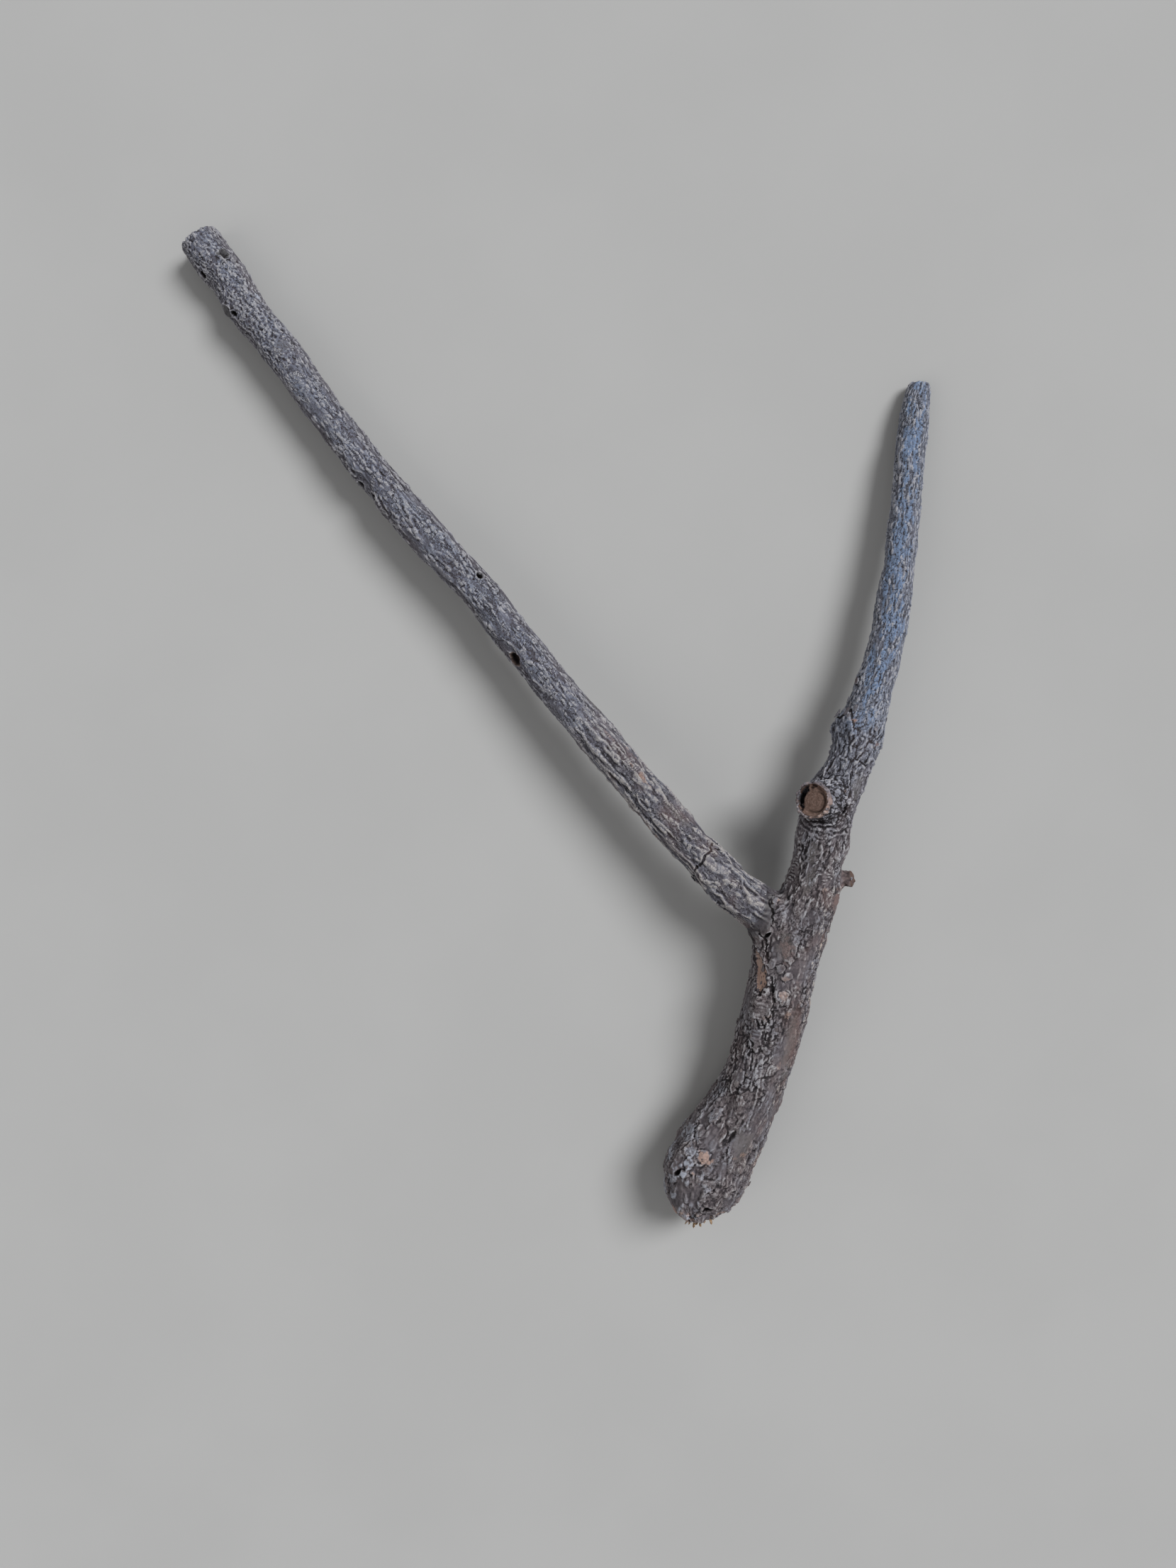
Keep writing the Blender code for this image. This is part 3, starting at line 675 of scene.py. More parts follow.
def markStubBark(branch):        # cells of bark round the sawn stub, and wrinkled, shaded bark below it
    points, high = branch["points"], branch["high"]
    beyond, off = alongLine(points, stub["base"], stub["face"])[:2]
    near = ease(20, 14, off) * ease(-34, -24, beyond) * ease(-1, -4, beyond)
    k = np.nonzero(near > 0.01)[0]
    at, near = points[k], near[k]
    first, second, lot = cells(at + 1.2 * wave(at, 3, 102)[:, None], (4.4, 4.4, 5.4), 104)
    gap = second - first
    raised = 0.8 * roughWave(at, (3.0, 3.0, 4.5), 101, 3) + ease(0.02, 0.3, gap) * (0.3 + 0.7 * lot)
    high[k] += near * (raised - 0.5)
    mostOf(branch, "line", k, near * ease(0.22, 0.05, gap) * 0.9)
    branch["lot"][k] += near * (lot - 0.5)
    branch["calm"][k] *= 1 - near
    below = ease(26, 20, off) * ease(9.5, 12.5, off) * ease(-45, -28, beyond) * ease(-30, -36, points[:, 1])
    ring = np.sin(fullTurn * (off + 1.6 * wave(points, 5, 103)) / 3.6)
    ring *= ease(-0.4, 0.2, wave(points, 6, 105))
    high += below * (0.8 * ring - 0.4 * high)
    mostOf(branch, "line", everywhere, below * ease(-0.5, -0.95, ring) * 0.6)
    shaded = below * ease(160, 152, points[:, 0] + 1.5 * wave(points, 4, 106))
    mostOf(branch, "line", everywhere, shaded * 0.45)


def markStubFace(branch):        # the sawn wood, the hollow crescent and groove in it, and the bark's cut rim
    points, high = branch["points"], branch["high"]
    beyond, off, away, toward = alongLine(points, stub["base"], stub["face"])
    toLimb = np.array(stub["woodToward"])
    fromWood = np.linalg.norm(away - toLimb * stub["woodOff"], axis=1)
    side = (away @ toLimb) / np.maximum(off, 0.5)
    onFace = ease(-3.2, -1.6, beyond) * (off < 9.4)
    crescent = ease(stub["wood"] - 0.2, stub["wood"] + 0.9, fromWood) * ease(9.4, 8.4, off) * ease(-8, -3, beyond)
    crescent *= ease(-0.35, -0.70, side + 0.45 * wave(points, 2.2, 110))
    wood = onFace * (1 - crescent)
    rim = ease(-3.5, -1.5, beyond) * ease(8.8, 9.4, off) * ease(14, 13, off)
    high[(beyond > -9) & (off < 9.6)] = 0.0
    rings = 0.5 + 0.5 * np.sin(fullTurn * (fromWood + 0.5 * wave(points, 3, 107)) / 1.5)
    groove = onFace * hump(fromWood, 6.1, 0.40) * ease(-0.2, 0.4, side)
    high += wood * 0.25 * roughWave(points, (3.0, 0.9, 3.0), 108, 2) - groove * 0.4
    high += rim * (0.5 * roughWave(points, 4, 109, 3) - 0.35)
    torn = 0.65 + 0.9 * wave(points, (2.2, 2.2, 4.0), 111)
    branch["push"] = -np.outer(crescent * stub["hollow"] * torn, toward)
    for key in ("pale", "line", "lot"):
        branch[key] *= 1 - np.maximum(wood, rim)
    branch["wood"] = wood * (0.78 + 0.22 * rings) * ease(9.6, 9.1, off)
    mostOf(branch, "line", everywhere, rim * 0.5 * ease(0.1, 0.6, wave(points, 1.8, 112)))
    # painted light: the cut rim is painted tan on its sunny side
    sunny = ease(0.1, 0.8, away @ np.array(stub["sunny"]) / 10)
    mostOf(branch, "pink", everywhere, rim * 0.4)
    mostOf(branch, "tan", everywhere, rim * sunny * 0.5)
    # painted shade: the hollow crescent and the groove in the sawn stub are painted near black
    mostOf(branch, "hole", everywhere, crescent * (0.97 - 0.3 * ease(0.7, 1.2, torn)))
    mostOf(branch, "hole", everywhere, groove * 0.8)


def markTwig(branch):
    points, high = branch["points"], branch["high"]
    beyond, off = alongLine(points, twig["base"], twig["face"])[:2]
    onTwig = ease(9, 7, off) * ease(-9, -6, beyond)
    collar = hump(beyond, -2.6, 1.3) - 0.8 * hump(beyond, -6.0, 1.6)
    high += onTwig * (roughWave(points, 3, 113, 3) + 0.7 * collar - 0.7 * high)
    for key in ("pale", "lot"):
        branch[key] *= 1 - onTwig * 0.8
    mostOf(branch, "dull", everywhere, onTwig * ease(-2.0, -3.0, beyond) * 0.5)
    mostOf(branch, "red", everywhere, onTwig * 0.7)
    mostOf(branch, "brown", everywhere, ease(7.5, 6, off) * ease(-3.6, -2.2, beyond))
    mostOf(branch, "line", everywhere, onTwig * ease(0.25, 0.6, wave(points, (2.0, 1.6, 1.6), 115)) * 0.9)


def markTips(branch):        # the long limb's hollow end, and the short limb's rough one
    points, high, long = branch["points"], branch["high"], branch["long"]
    away = np.linalg.norm(points - np.array(ends["long"]), axis=1)
    high += ease(15, 11, away) * 0.5 * roughWave(points, 2.5, 121, 2)
    last = long["along"][np.argmin(away)]
    deep = (long["along"] > last - 8) * ease(9.2, 8.4, long["off"])
    inward = ease(last - 0.5, last - 6, long["along"])
    # painted shade inside the long limb's hollow end, darker further in
    mostOf(branch, "hole", everywhere, deep * (0.15 + 0.7 * inward))
    mostOf(branch, "brown", everywhere, deep)
    branch["line"] *= 1 - deep
    away = np.linalg.norm(points - np.array(ends["short"]), axis=1)
    high += ease(9, 6, away) * 0.4 * roughWave(points, 2.0, 123, 2)


def markButtEnd(branch):        # the torn end, with a core that gives way to the splinters and pale torn lips
    end, points, y = stem["tornEnd"], branch["points"], branch["points"][:, 1]
    ragged = ease(*end["ragged"], y)
    branch["high"] += ragged * 0.9 * roughWave(points, 2.4, 127, 2)
    away = np.hypot(points[:, 0] - ends["butt"][0], points[:, 2] - ends["butt"][2])
    core = ragged * ease(*end["core"], away)
    mostOf(branch, "brown", everywhere, core)
    branch["push"][:, 1] += core * 0.8 * np.clip(end["coreFloor"] - y, 0, end["coreDeep"])
    lip = ease(*end["lips"], y) * ease(-0.15, 0.35, roughWave(points, 4, 129, 2)) * (1 - core)
    mostOf(branch, "pink", everywhere, 0.7 * lip)


def finishMasks(branch):        # relief, the painted sky sheen on the upper side, warmth and scales, which the finish reads
    high, edges, points = branch["high"], branch["edges"], branch["points"]
    leader, onLong, y = branch["leader"], branch["onLong"], branch["points"][:, 1]
    # relief is the bark's height against its surroundings; the finish makes crests lighter and hollows darker,
    # partly the bark's own paler crests and partly painted shade in the hollows and painted highlight on the
    # crests
    close = high - blurred(high, edges, 4)
    wider = high - blurred(high, edges, 16)
    even = 1 - 0.4 * ease(-218, -250, y) * (1 - onLong)        # the butt's tones differ less than the stem's
    branch["relief"] = np.clip((1.4 * close + 0.55 * wider) * even, -1, 1)
    flat = leader["flat"]
    # painted sky sheen: a bluish reflection of the sky painted on the upper side of the stem and short limb
    top = ease(0.62, 0.94, np.sin(leader["angle"] - 0.25 + 0.35 * wave(flat, (30, 30, 24), 131)))
    top *= ease(-0.45, 0.15, roughWave(flat, (3.4, 3.4, 11), 133, 3))
    branch["bloom"] = (1 - onLong) * ease(-15, 45, y) * top
    for key in ("small", "pale"):
        branch[key] *= 1 - 0.6 * branch["bloom"]
    rightSide = ease(0.15, 0.8, np.cos(leader["angle"])) * ease(-60, -110, y)
    away = fromCrotch(points)
    # a weaker painted sky sheen on the long limb's upper side, away from the fork
    onTop = ease(0.3, 0.9, np.sin(branch["long"]["angle"]))
    branch["bloom"] += onLong * 0.35 * onTop * ease(80, 190, away)
    branch["warmth"] = (1 - onLong) * (0.10 + 0.7 * rightSide) + onLong * (0.05 + 0.42 * ease(200, 100, away))
    branch["warmth"] *= 1 - 0.9 * ease(-20, 40, y) * (1 - onLong)
    buttLeft = ease(-222, -245, y) * ease(0.2, -0.5, np.cos(leader["angle"])) * (1 - onLong)
    scaly = ease(-0.25, 0.3, roughWave(points, (7, 7, 9), 137, 2)) * ease(-0.5, 0.3, high)
    mostOf(branch, "white", everywhere, 0.55 * buttLeft * scaly)
    torn = np.clip(branch["pink"] + branch["tan"], 0, 1)
    mostOf(branch, "relief", everywhere, 0.9 * torn - 1)
    branch["upper"] = (1 - onLong) * ease(-75, 30, y)


# finishes

tones = {
    "cream": (0.430, 0.380, 0.325), "ash": (0.375, 0.372, 0.395), "white": (0.420, 0.445, 0.510),
    "tan": (0.390, 0.240, 0.168), "pink": (0.420, 0.290, 0.238), "red": (0.175, 0.115, 0.105),
    # the near-black hole tone is painted shade for holes, hollows and grooves
    "crack": (0.018, 0.015, 0.017), "hole": (0.006, 0.005, 0.005), "brown": (0.090, 0.052, 0.036),
    "woodDark": (0.120, 0.072, 0.054), "wood": (0.205, 0.135, 0.108), "dull": (0.085, 0.082, 0.082),
    # the bluish sheen tone is a painted reflection of the sky
    "bald": (0.135, 0.125, 0.115), "bloom": (0.175, 0.245, 0.375), "calm": (0.106, 0.096, 0.110),
    "cool": (0.215, 0.235, 0.285), "splinterDark": (0.080, 0.042, 0.022), "splinter": (0.420, 0.280, 0.150),
    "splinterBrown": (0.120, 0.062, 0.034),
}
surfaceMasks = ("pale", "line", "lot", "small", "calm", "relief", "tan", "pink", "red", "white", "hole", "brown",
                "dull", "bald", "wood", "bloom", "warmth", "onLong", "upper")
# how much each thing lightens the bark, and between which levels each tone takes over
lighter = {"plain": 0.25, "relief": 0.50, "streaks": 0.40, "grit": 0.55, "pale": 0.38, "lot": 0.34, "flake": 0.05,
           "flakeLot": 0.34, "lip": 0.16, "rimLine": -0.34, "cracking": -0.18, "dark": -0.55}
toneLevels = {"shade": (0.06, 0.28), "plain": (0.26, 0.50), "light": (0.48, 0.76), "flake": (0.70, 0.98)}


def addNode(tree, kind, **settings):
    made = tree.nodes.new(kind)
    for key, value in settings.items():
        setattr(made, key, value)
    return made


def feed(tree, socket, value):
    if isinstance(value, bpy.types.NodeSocket):
        tree.links.new(value, socket)
    else:
        socket.default_value = (*value, 1.0) if isinstance(value, tuple) else value


def mixed(tree, share, low, high):        # a colour part way from low to high
    mix = addNode(tree, "ShaderNodeMix", data_type="RGBA")
    for socket, value in ((mix.inputs[0], share), (mix.inputs[6], low), (mix.inputs[7], high)):
        feed(tree, socket, value)
    return mix.outputs[2]


def ranged(tree, value, low, high, toLow=0.0, toHigh=1.0):
    made = addNode(tree, "ShaderNodeMapRange", interpolation_type="SMOOTHSTEP")
    for name, number in (("Value", value), ("From Min", low), ("From Max", high), ("To Min", toLow),
                         ("To Max", toHigh)):
        feed(tree, made.inputs[name], number)
    return made.outputs["Result"]


def joinedBy(tree, operation, a, b, c=0.0):
    made = addNode(tree, "ShaderNodeMath", operation=operation)
    for socket, value in zip(made.inputs, (a, b, c)):
        feed(tree, socket, value)
    return made.outputs[0]


def stretched(tree, place, stretch):
    made = addNode(tree, "ShaderNodeMapping")
    made.inputs["Scale"].default_value = stretch
    tree.links.new(place, made.inputs["Vector"])
    return made.outputs["Vector"]


def noiseOf(tree, place, stretch, detail, rough, output="Fac"):
    made = addNode(tree, "ShaderNodeTexNoise")
    made.inputs["Scale"].default_value = 1.0
    made.inputs["Detail"].default_value = detail
    made.inputs["Roughness"].default_value = rough
    tree.links.new(stretched(tree, place, stretch), made.inputs["Vector"])
    return made.outputs[output]


def scales(tree, place, stretch, bend):        # how far in from a small cell's edge, and two lots for each cell
    moved = addNode(tree, "ShaderNodeVectorMath", operation="MULTIPLY_ADD")
    tree.links.new(noiseOf(tree, place, (0.7, 0.7, 0.7), 2, 0.6, "Color"), moved.inputs[0])
    moved.inputs[1].default_value = (bend, bend, bend)
    tree.links.new(place, moved.inputs[2])
    at = stretched(tree, moved.outputs[0], stretch)
    made = {}
    for feature in ("DISTANCE_TO_EDGE", "F1"):
        made[feature] = addNode(tree, "ShaderNodeTexVoronoi", feature=feature)
        made[feature].inputs["Scale"].default_value = 1.0
        tree.links.new(at, made[feature].inputs["Vector"])
    lots = addNode(tree, "ShaderNodeSeparateColor")
    tree.links.new(made["F1"].outputs["Color"], lots.inputs[0])
    return made["DISTANCE_TO_EDGE"].outputs["Distance"], lots.outputs[0], lots.outputs[1]


def newFinish(name):
    material = bpy.data.materials.new(name)
    material.use_nodes = True
    return material, material.node_tree, material.node_tree.nodes["Principled BSDF"]


def limbPlaceOf(tree):
    return addNode(tree, "ShaderNodeAttribute", attribute_name="limbPlace").outputs["Vector"]


def addBump(tree, surface, height, strength, deep):
    bump = addNode(tree, "ShaderNodeBump")
    bump.inputs["Strength"].default_value = strength
    bump.inputs["Distance"].default_value = deep * mm
    tree.links.new(height, bump.inputs["Height"])
    tree.links.new(bump.outputs["Normal"], surface.inputs["Normal"])


def barkTone(tree, mask, name):        # the stem's, short limb's or long limb's own tone, blended at the fork
    low = mixed(tree, mask["upper"], stem["tone"][name], shortLimb["tone"][name])
    return mixed(tree, mask["onLong"], low, longLimb["tone"][name])


def barkFinish(name):
    material, tree, surface = newFinish(name)
    place = limbPlaceOf(tree)
    mask = {key: addNode(tree, "ShaderNodeAttribute", attribute_name=key).outputs["Fac"] for key in surfaceMasks}

    def times(a, b):
        return joinedBy(tree, "MULTIPLY", a, b)

    def plus(a, share, b):        # a times share, and b
        return joinedBy(tree, "MULTIPLY_ADD", a, share, b)

    broad = noiseOf(tree, place, (0.09, 0.09, 0.045), 3, 0.55)
    streaks = noiseOf(tree, place, (0.4, 0.4, 0.12), 3, 0.6)
    fine = noiseOf(tree, place, (1.2, 1.2, 0.9), 6, 0.68)
    lively = plus(mask["calm"], -0.65, 1.0)
    grit = times(joinedBy(tree, "SUBTRACT", fine, 0.5), lively)
    wrinkleEdge = scales(tree, place, (0.42, 0.42, 0.95), 1.6)[0]
    cracking = times(ranged(tree, wrinkleEdge, 0.14, 0.02), ranged(tree, fine, 0.60, 0.38))
    cracking = times(cracking, lively)
    flakeEdge, flakeLot, otherLot = scales(tree, place, (0.60, 0.60, 0.23), 2.0)
    chosen = ranged(tree, plus(mask["relief"], 0.3, plus(streaks, 0.9, flakeLot)), 0.98, 1.06)
    chosen = times(times(chosen, mask["small"]), lively)
    flake = times(chosen, ranged(tree, flakeEdge, 0.04, 0.10))
    lip = times(flake, ranged(tree, flakeEdge, 0.24, 0.12))
    rimLine = times(chosen, ranged(tree, flakeEdge, 0.07, 0.02))
    # line darkens cracks and fissures, and also carries the painted shade below the stub, in the wedge, along the
    # ledge's foot and in the crotch
    dark = ranged(tree, plus(grit, -0.8, mask["line"]), 0.2, 0.9)

    # relief lightens crests and darkens hollows: partly painted shade and painted highlight, partly the bark's
    # own paler crests
    level = lighter["plain"]
    for part, share in ((mask["relief"], lighter["relief"]), (streaks, lighter["streaks"]),
                        (grit, lighter["grit"]), (mask["pale"], lighter["pale"]), (mask["lot"], lighter["lot"]),
                        (flake, plus(otherLot, lighter["flakeLot"], lighter["flake"])), (lip, lighter["lip"]),
                        (rimLine, lighter["rimLine"]), (cracking, lighter["cracking"]),
                        (dark, lighter["dark"])):
        level = plus(part, share, level)
    colour = tones["crack"]
    for key in ("shade", "plain", "light"):
        colour = mixed(tree, ranged(tree, level, *toneLevels[key]), colour, barkTone(tree, mask, key))

    rusty = times(ranged(tree, broad, 0.45, 0.7), plus(mask["warmth"], 0.8, 0.05))
    cool = times(ranged(tree, broad, 0.52, 0.36), ranged(tree, level, 0.35, 0.75))
    # painted sky sheen: bluish reflection of the sky painted on the lighter bark of the upper side
    bloom = ranged(tree, plus(grit, 0.8, mask["bloom"]), 0.15, 0.9)
    bloom = times(bloom, ranged(tree, level, 0.20, 0.60))
    for key, share in (("red", rusty), ("calm", times(mask["calm"], 0.35)), ("bald", times(mask["bald"], 0.35)),
                       ("cool", times(cool, 0.45)), ("bloom", bloom)):
        colour = mixed(tree, share, colour, tones[key])
    flakeTone = mixed(tree, plus(grit, 0.8, mask["warmth"]), tones["ash"], tones["cream"])
    tanShare = times(ranged(tree, mask["warmth"], 0.5, 1.0), ranged(tree, broad, 0.42, 0.56))
    flakeTone = mixed(tree, times(tanShare, 0.5), flakeTone, tones["tan"])
    colour = mixed(tree, ranged(tree, level, *toneLevels["flake"], 0.0, 0.9), colour, flakeTone)
    shown = ranged(tree, level, 0.10, 0.50, 0.15, 0.85)
    for key in ("red", "tan", "pink", "white", "brown", "dull"):
        share = ranged(tree, plus(grit, 1.0, mask[key]), 0.20, 0.85)
        colour = mixed(tree, times(share, shown), colour, tones[key])

    grain = noiseOf(tree, place, (0.9, 0.9, 0.25), 4, 0.6)
    woodShare = ranged(tree, joinedBy(tree, "ADD", grain, mask["wood"]), 1.15, 1.6)
    woodTone = mixed(tree, woodShare, tones["woodDark"], tones["wood"])
    colour = mixed(tree, ranged(tree, mask["wood"], 0.2, 0.6), colour, woodTone)
    # painted shade: holes, hollows and grooves are painted near black and given almost no reflection
    colour = mixed(tree, mask["hole"], colour, tones["hole"])
    tree.links.new(colour, surface.inputs["Base Color"])
    tree.links.new(ranged(tree, fine, 0.3, 0.7, 0.78, 0.97), surface.inputs["Roughness"])
    tree.links.new(plus(mask["hole"], -0.33, 0.35), surface.inputs["Specular IOR Level"])
    addBump(tree, surface, plus(flake, 0.7, plus(cracking, -0.5, times(grit, 0.8))), 0.9, 0.5)
    return material


def woodFinish(name):
    material, tree, surface = newFinish(name)
    place = limbPlaceOf(tree)
    grain = noiseOf(tree, place, (2.2, 0.35, 2.2), 4, 0.65)
    patch = noiseOf(tree, place, (0.5, 0.2, 0.5), 2, 0.5)
    colour = mixed(tree, ranged(tree, grain, 0.36, 0.62), tones["splinterDark"], tones["splinter"])
    colour = mixed(tree, ranged(tree, patch, 0.45, 0.65), colour, tones["splinterBrown"])
    tree.links.new(colour, surface.inputs["Base Color"])
    tree.links.new(ranged(tree, grain, 0.3, 0.7, 0.7, 0.9), surface.inputs["Roughness"])
    addBump(tree, surface, grain, 0.6, 0.25)
    return material


# the pieces

pieces = {
    "stem_skin": {"node": "stem", "slot": "stem_bark"},
    "long_limb_skin": {"node": "long_limb", "slot": "long_limb_bark"},
    "long_limb_end_skin": {"node": "long_limb", "slot": "long_limb_bark"},
    "short_limb_skin": {"node": "short_limb", "slot": "short_limb_bark"},
}
longLimbHalf = 215.0        # the long limb's skin is two meshes, which meet this far from the crotch


def regionOf(points):        # which piece each place belongs to, in the order above
    crotch, lines = forkLines()
    turn = {name: math.atan2(line[1], line[0]) % fullTurn for name, line in lines.items()}
    away = points[:, :2] - crotch
    angle = np.arctan2(away[:, 1], away[:, 0]) % fullTurn
    region = np.full(len(points), 3)
    region[(angle > turn["betweenLimbs"]) & (angle <= turn["leftArmpit"])] = 1
    region[(region == 1) & (fromCrotch(points) > longLimbHalf)] = 2
    region[(angle > turn["leftArmpit"]) & (angle <= turn["rightOfFork"])] = 0
    return region


def addMesh(name, points, faces, values, limbPlace, material):
    mesh = bpy.data.meshes.new(name)
    mesh.from_pydata(points * mm, [], faces)
    for key, value in values.items():
        mesh.attributes.new(key, "FLOAT", "POINT").data.foreach_set("value", value.astype(np.float32))
    vector = mesh.attributes.new("limbPlace", "FLOAT_VECTOR", "POINT")
    vector.data.foreach_set("vector", limbPlace.astype(np.float32).ravel())
    mesh.materials.append(material)
    piece = bpy.data.objects.new(name, mesh)
    bpy.context.scene.collection.objects.link(piece)
    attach(piece, "root")
    print(name, "has", sum(len(p.vertices) - 2 for p in mesh.polygons), "triangles")
    return piece


def closeEnds(mesh):        # an inner cap where a skin is cut from its neighbour
    shape = bmesh.new()
    shape.from_mesh(mesh)
    bmesh.ops.holes_fill(shape, edges=[edge for edge in shape.edges if edge.is_boundary], sides=0)
    shape.to_mesh(mesh)
    shape.free()


def makeSkins(branch, finishes):
    points, normals, quads = branch["points"], branch["normals"], branch["quads"]
    share = branch["onLong"][:, None]
    limbPlace = branch["leader"]["flat"] * (1 - share) + branch["long"]["flat"] * share
    for k, (name, facts) in enumerate(pieces.items()):
        used, where = np.unique(quads[branch["region"] == k], return_inverse=True)
        values = {key: branch[key][used] for key in surfaceMasks}
        faces = where.reshape(-1, 4).tolist()
        slot = facts["slot"]
        piece = addMesh(name, points[used], faces, values, limbPlace[used], finishes[slot])
        closeEnds(piece.data)
        piece.data.shade_smooth()
        piece.data.normals_split_custom_set_from_vertices(normals[used])
        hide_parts(facts["node"])


# loose chips of bark that stand off the skin: x, y, size, lift, how pale
chips = {
    "placed": [(103, -193, 3.0, 1.6, 0.3), (104, -197, 2.0, 1.0, 0.2), (79, -80, 2.2, 0.9, 0.6),
               (177, 41, 2.4, 1.0, 0.0), (166, 23, 3.4, 1.1, 0.5), (171, 25, 3.0, 1.2, 0.4),
               (176, 25, 2.6, 1.0, 0.5), (171, 31, 2.6, 0.9, 0.6), (128, -90, 2.6, 0.9, 0.9),
               (138, -24, 2.2, 0.9, 0.5)],
    "stemEndsAt": -92, "onStem": 60, "onShortLimb": 16, "small": 1.0, "big": 2.2, "thick": 0.4,
}


def chipShape(branch, drawn, k, size, lift, pale, first):        # points, faces and how pale each point is
    forward, side, out = axesAt(branch, k)
    corners = drawn.integers(6, 9)
    turn = np.sort(drawn.uniform(0, 0.7, corners) + np.arange(corners)) * 2 * math.pi / corners
    reach = size * drawn.uniform(0.55, 1.0, corners)
    u, v = np.cos(turn) * reach * 1.35, np.sin(turn) * reach * 0.8
    rise = lift * (0.5 + 0.5 * v / size) + drawn.uniform(-0.12, 0.12, corners)
    at = branch["points"][k] + side * 0.2
    top = at + u[:, None] * forward + v[:, None] * side + (rise + 0.15)[:, None] * out
    low = at + 0.8 * (u[:, None] * forward + v[:, None] * side) + (rise - chips["thick"])[:, None] * out
    middle = at + (lift * 0.5 + 0.35) * out
    under = at - 0.5 * out
    faces = []
    for c in range(corners):
        d = (c + 1) % corners
        faces.append((first + c, first + d, first + 2 * corners))
        faces.append((first + d, first + c, first + corners + c, first + corners + d))
        faces.append((first + corners + d, first + corners + c, first + 2 * corners + 1))
    paleness = np.concatenate([np.full(corners, pale), np.zeros(corners), [pale * 0.8], [0.0]])
    return np.vstack([top, low, middle, under]), faces, paleness


def chipPlaces(branch, drawn):        # rows of place, size, lift and paleness for the stem and the short limb
    points = branch["points"]
    x, y, z = points.T
    lots = {"stem": [], "short_limb": []}
    for x0, y0, size, lift, pale in chips["placed"]:
        name = "stem" if y0 < chips["stemEndsAt"] else "short_limb"
        lots[name].append((topPoint(points, x0, y0), size, lift, pale))
    raised = (branch["relief"] > 0.1) & (z > 6)
    onStem = np.nonzero(raised & (y < -100) & (y > -290))[0]
    onShort = np.nonzero(raised & (y > -80) & (y < 45) & (x > 140) & (z < 55) & (branch["wood"] < 0.1))[0]
    for name, places, number in (("stem", onStem, chips["onStem"]),
                                 ("short_limb", onShort, chips["onShortLimb"])):
        for k in drawn.choice(places, number, replace=False):
            size = drawn.uniform(chips["small"], chips["big"])
            lots[name].append((k, size, drawn.uniform(0.1, 0.5), drawn.uniform(0.2, 1.0)))
    return lots


def makeChips(branch, finishes):
    drawn = np.random.default_rng(31)
    for name, rows in chipPlaces(branch, drawn).items():
        allPoints, allFaces, allPale, count = [], [], [], 0
        for row in rows:
            points, faces, pale = chipShape(branch, drawn, *row, count)
            allPoints.append(points)
            allFaces.extend(faces)
            allPale.append(pale)
            count += len(points)
        shape = np.vstack(allPoints)
        shape[:, 2] = np.maximum(shape[:, 2], 0)
        values = {"pale": np.concatenate(allPale), "warmth": np.full(count, 0.4),
                  "upper": np.full(count, 0.0 if name == "stem" else 0.4)}
        slot = name + "_bark"
        addMesh(name + "_chips", shape, allFaces, values, shape, finishes[slot])


# torn slivers of wood that stick out under the butt
splinters = {"number": 64, "middle": (89, -300, 19), "spread": (7.0, 0.0, 6.5), "short": 4.0, "long": 9.0,
             "thin": 0.55, "wide": 1.2}


def splinterShape(drawn, first):        # a four-sided sliver in two lengths, with a tip
    turn, out = drawn.uniform(0, fullTurn), math.sqrt(drawn.uniform(0, 1))
    spread = np.array(splinters["spread"])
    root = np.array(splinters["middle"]) + spread * (math.cos(turn) * out, 0, math.sin(turn) * out)
    way = np.array([math.cos(turn) * out * 0.35, -1.0, math.sin(turn) * out * 0.25])
    way += drawn.normal(0, 0.13, 3) * (1, 0, 1)
    long = drawn.uniform(splinters["short"], splinters["long"])
    wide, thin = drawn.uniform(0.4, 1.0) * splinters["wide"], drawn.uniform(0.6, 1.0) * splinters["thin"]
    spin = drawn.uniform(0, math.pi)
    a = np.array([math.cos(spin), 0, math.sin(spin)]) * wide
    b = np.array([-math.sin(spin), 0, math.cos(spin)]) * thin
    bend = np.array([drawn.normal(0, 0.6), 0, drawn.normal(0, 0.6)])
    points, faces = [], []
    for t, size in ((-0.5, 1.0), (0.4, 1.0), (0.9, 0.7)):
        at = root + way * long * t + bend * t * t
        points.extend([at + (a + b) * size, at + (a - b) * size, at - (a + b) * size, at - (a - b) * size])
    points.append(root + way * long + bend)
    for low in (first, first + 4):
        faces.extend((low + c, low + (c + 1) % 4, low + 4 + (c + 1) % 4, low + 4 + c) for c in range(4))
    faces.extend((first + 8 + c, first + 8 + (c + 1) % 4, first + 12) for c in range(4))
    faces.append((first + 3, first + 2, first + 1, first))
    return points, faces


def makeSplinters(finishes):
    drawn = np.random.default_rng(7)
    allPoints, allFaces = [], []
    for k in range(splinters["number"]):
        points, faces = splinterShape(drawn, len(allPoints))
        allPoints.extend(points)
        allFaces.extend(faces)
    shape = np.array(allPoints)
    shape[:, 1] = np.maximum(shape[:, 1], cadBox[0][1] / mm + 0.1)
    shape[:, 2] = np.maximum(shape[:, 2], 0)
    addMesh("butt_splinters", shape, allFaces, {}, shape, finishes["torn_wood"])


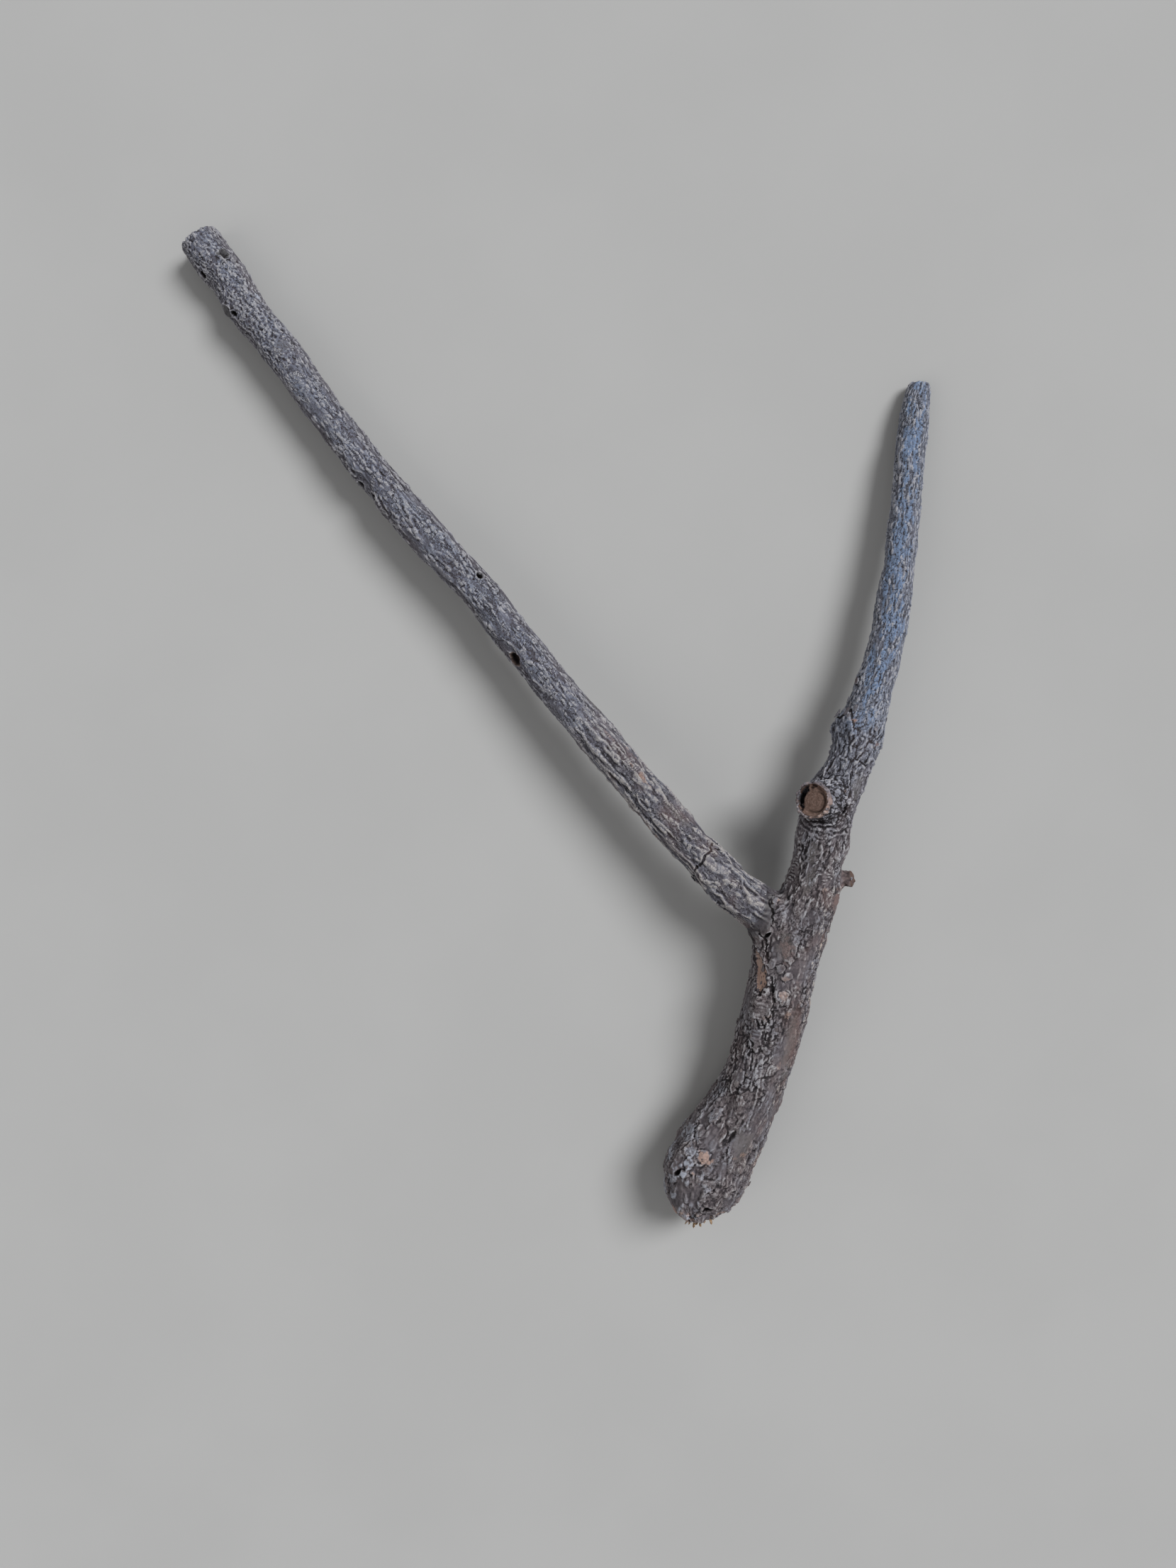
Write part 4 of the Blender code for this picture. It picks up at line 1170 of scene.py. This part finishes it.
def makeBranch():
    points, quads = wholeSkin()
    edges = edgesOf(quads)
    print("skin made:", len(points), "points")
    branch = {"quads": quads, "edges": edges, "region": regionOf(points[quads].mean(axis=1))}
    branch["points"] = smoothedSkin(points, quads, edges)
    branch["normals"] = normalsOf(branch["points"], quads)
    outward = blurred(branch["normals"], edges, 25)
    branch["outward"] = outward / np.linalg.norm(outward, axis=1, keepdims=True)
    limbPlaces(branch)
    growBark(branch)
    print("bark grown")
    for piece in (stem, longLimb, shortLimb):
        markPiece(branch, piece)
    for mark in (markNotch, markWedge, markLedge, markCrotch, markStubBark, markStubFace, markTwig, markTips,
                 markButtEnd):
        mark(branch)
    finishMasks(branch)
    print("marks made")
    points = branch["points"] + branch["normals"] * branch["high"][:, None] + branch["push"]
    points[:, 2] = np.maximum(points[:, 2], cadBox[0][2] / mm)
    branch["points"] = points
    branch["normals"] = normalsOf(points, quads)
    finishes = {slot: barkFinish(slot + "_finish") for slot in ("stem_bark", "long_limb_bark", "short_limb_bark")}
    finishes["torn_wood"] = woodFinish("torn_wood_finish")
    makeSkins(branch, finishes)
    makeChips(branch, finishes)
    makeSplinters(finishes)


# camera, floor and light

camera = {"at": (0.00434, 0.05746, 0.74536), "looksAt": (0.0163, -0.0254, 0.0), "rollDegrees": 0.1,
          "lens": 27.03}
floor = {"size": 14.0, "below": 0.05, "colour": (0.415, 0.413, 0.403), "darker": 0.97}
lamps = [
    {"name": "key", "from": (1.45, 1.15, 1.95), "softDegrees": 28, "power": 3.0, "colour": (0.97, 0.98, 1.0)},
    {"name": "fill", "from": (-1.7, -0.8, 1.6), "softDegrees": 45, "power": 0.45, "colour": (1.0, 0.97, 0.94)},
]
sky = {"colour": (0.88, 0.89, 0.92), "strength": 0.34}


def setCamera():
    made = bpy.data.cameras.new("camera")
    made.lens = camera["lens"]
    made.sensor_width = 36.0
    made.clip_start = 0.01
    holder = bpy.data.objects.new("camera", made)
    bpy.context.scene.collection.objects.link(holder)
    ahead = (Vector(camera["looksAt"]) - Vector(camera["at"])).normalized()
    right = ahead.cross(Vector((0, 1, 0))).normalized()
    turn = Matrix((right, right.cross(ahead), -ahead)).transposed().to_4x4()
    roll = Matrix.Rotation(math.radians(camera["rollDegrees"]), 4, "Z")
    holder.matrix_world = Matrix.Translation(camera["at"]) @ turn @ roll
    bpy.context.scene.camera = holder


def setFloor():
    half = floor["size"] / 2
    corners = [(-half, -half, 0), (half, -half, 0), (half, half, 0), (-half, half, 0)]
    mesh = bpy.data.meshes.new("floor")
    mesh.from_pydata(corners, [], [(0, 1, 2, 3)])
    made = bpy.data.objects.new("floor", mesh)
    made.location.z = -floor["below"] * mm
    bpy.context.scene.collection.objects.link(made)
    material, tree, surface = newFinish("pale_floor")
    place = addNode(tree, "ShaderNodeTexCoord").outputs["Object"]
    mottle = noiseOf(tree, place, (6, 6, 6), 4, 0.5)
    darker = tuple(c * floor["darker"] for c in floor["colour"])
    tree.links.new(mixed(tree, ranged(tree, mottle, 0.35, 0.65), darker, floor["colour"]),
                   surface.inputs["Base Color"])
    surface.inputs["Roughness"].default_value = 0.9
    mesh.materials.append(material)


def setLight():
    for lamp in lamps:
        made = bpy.data.lights.new(lamp["name"], "SUN")
        made.angle = math.radians(lamp["softDegrees"])
        made.energy = lamp["power"]
        made.color = lamp["colour"]
        holder = bpy.data.objects.new(lamp["name"], made)
        holder.location = lamp["from"]
        holder.rotation_euler = (-Vector(lamp["from"])).to_track_quat("-Z", "Y").to_euler()
        bpy.context.scene.collection.objects.link(holder)
    world = bpy.data.worlds.new("plain_sky")
    world.use_nodes = True
    light = world.node_tree.nodes["Background"]
    light.inputs["Color"].default_value = (*sky["colour"], 1.0)
    light.inputs["Strength"].default_value = sky["strength"]
    bpy.context.scene.world = world
    bpy.context.scene.view_settings.view_transform = "Standard"


setCamera()
setFloor()
setLight()
print("camera, floor and light set")
makeBranch()
print("branch made")
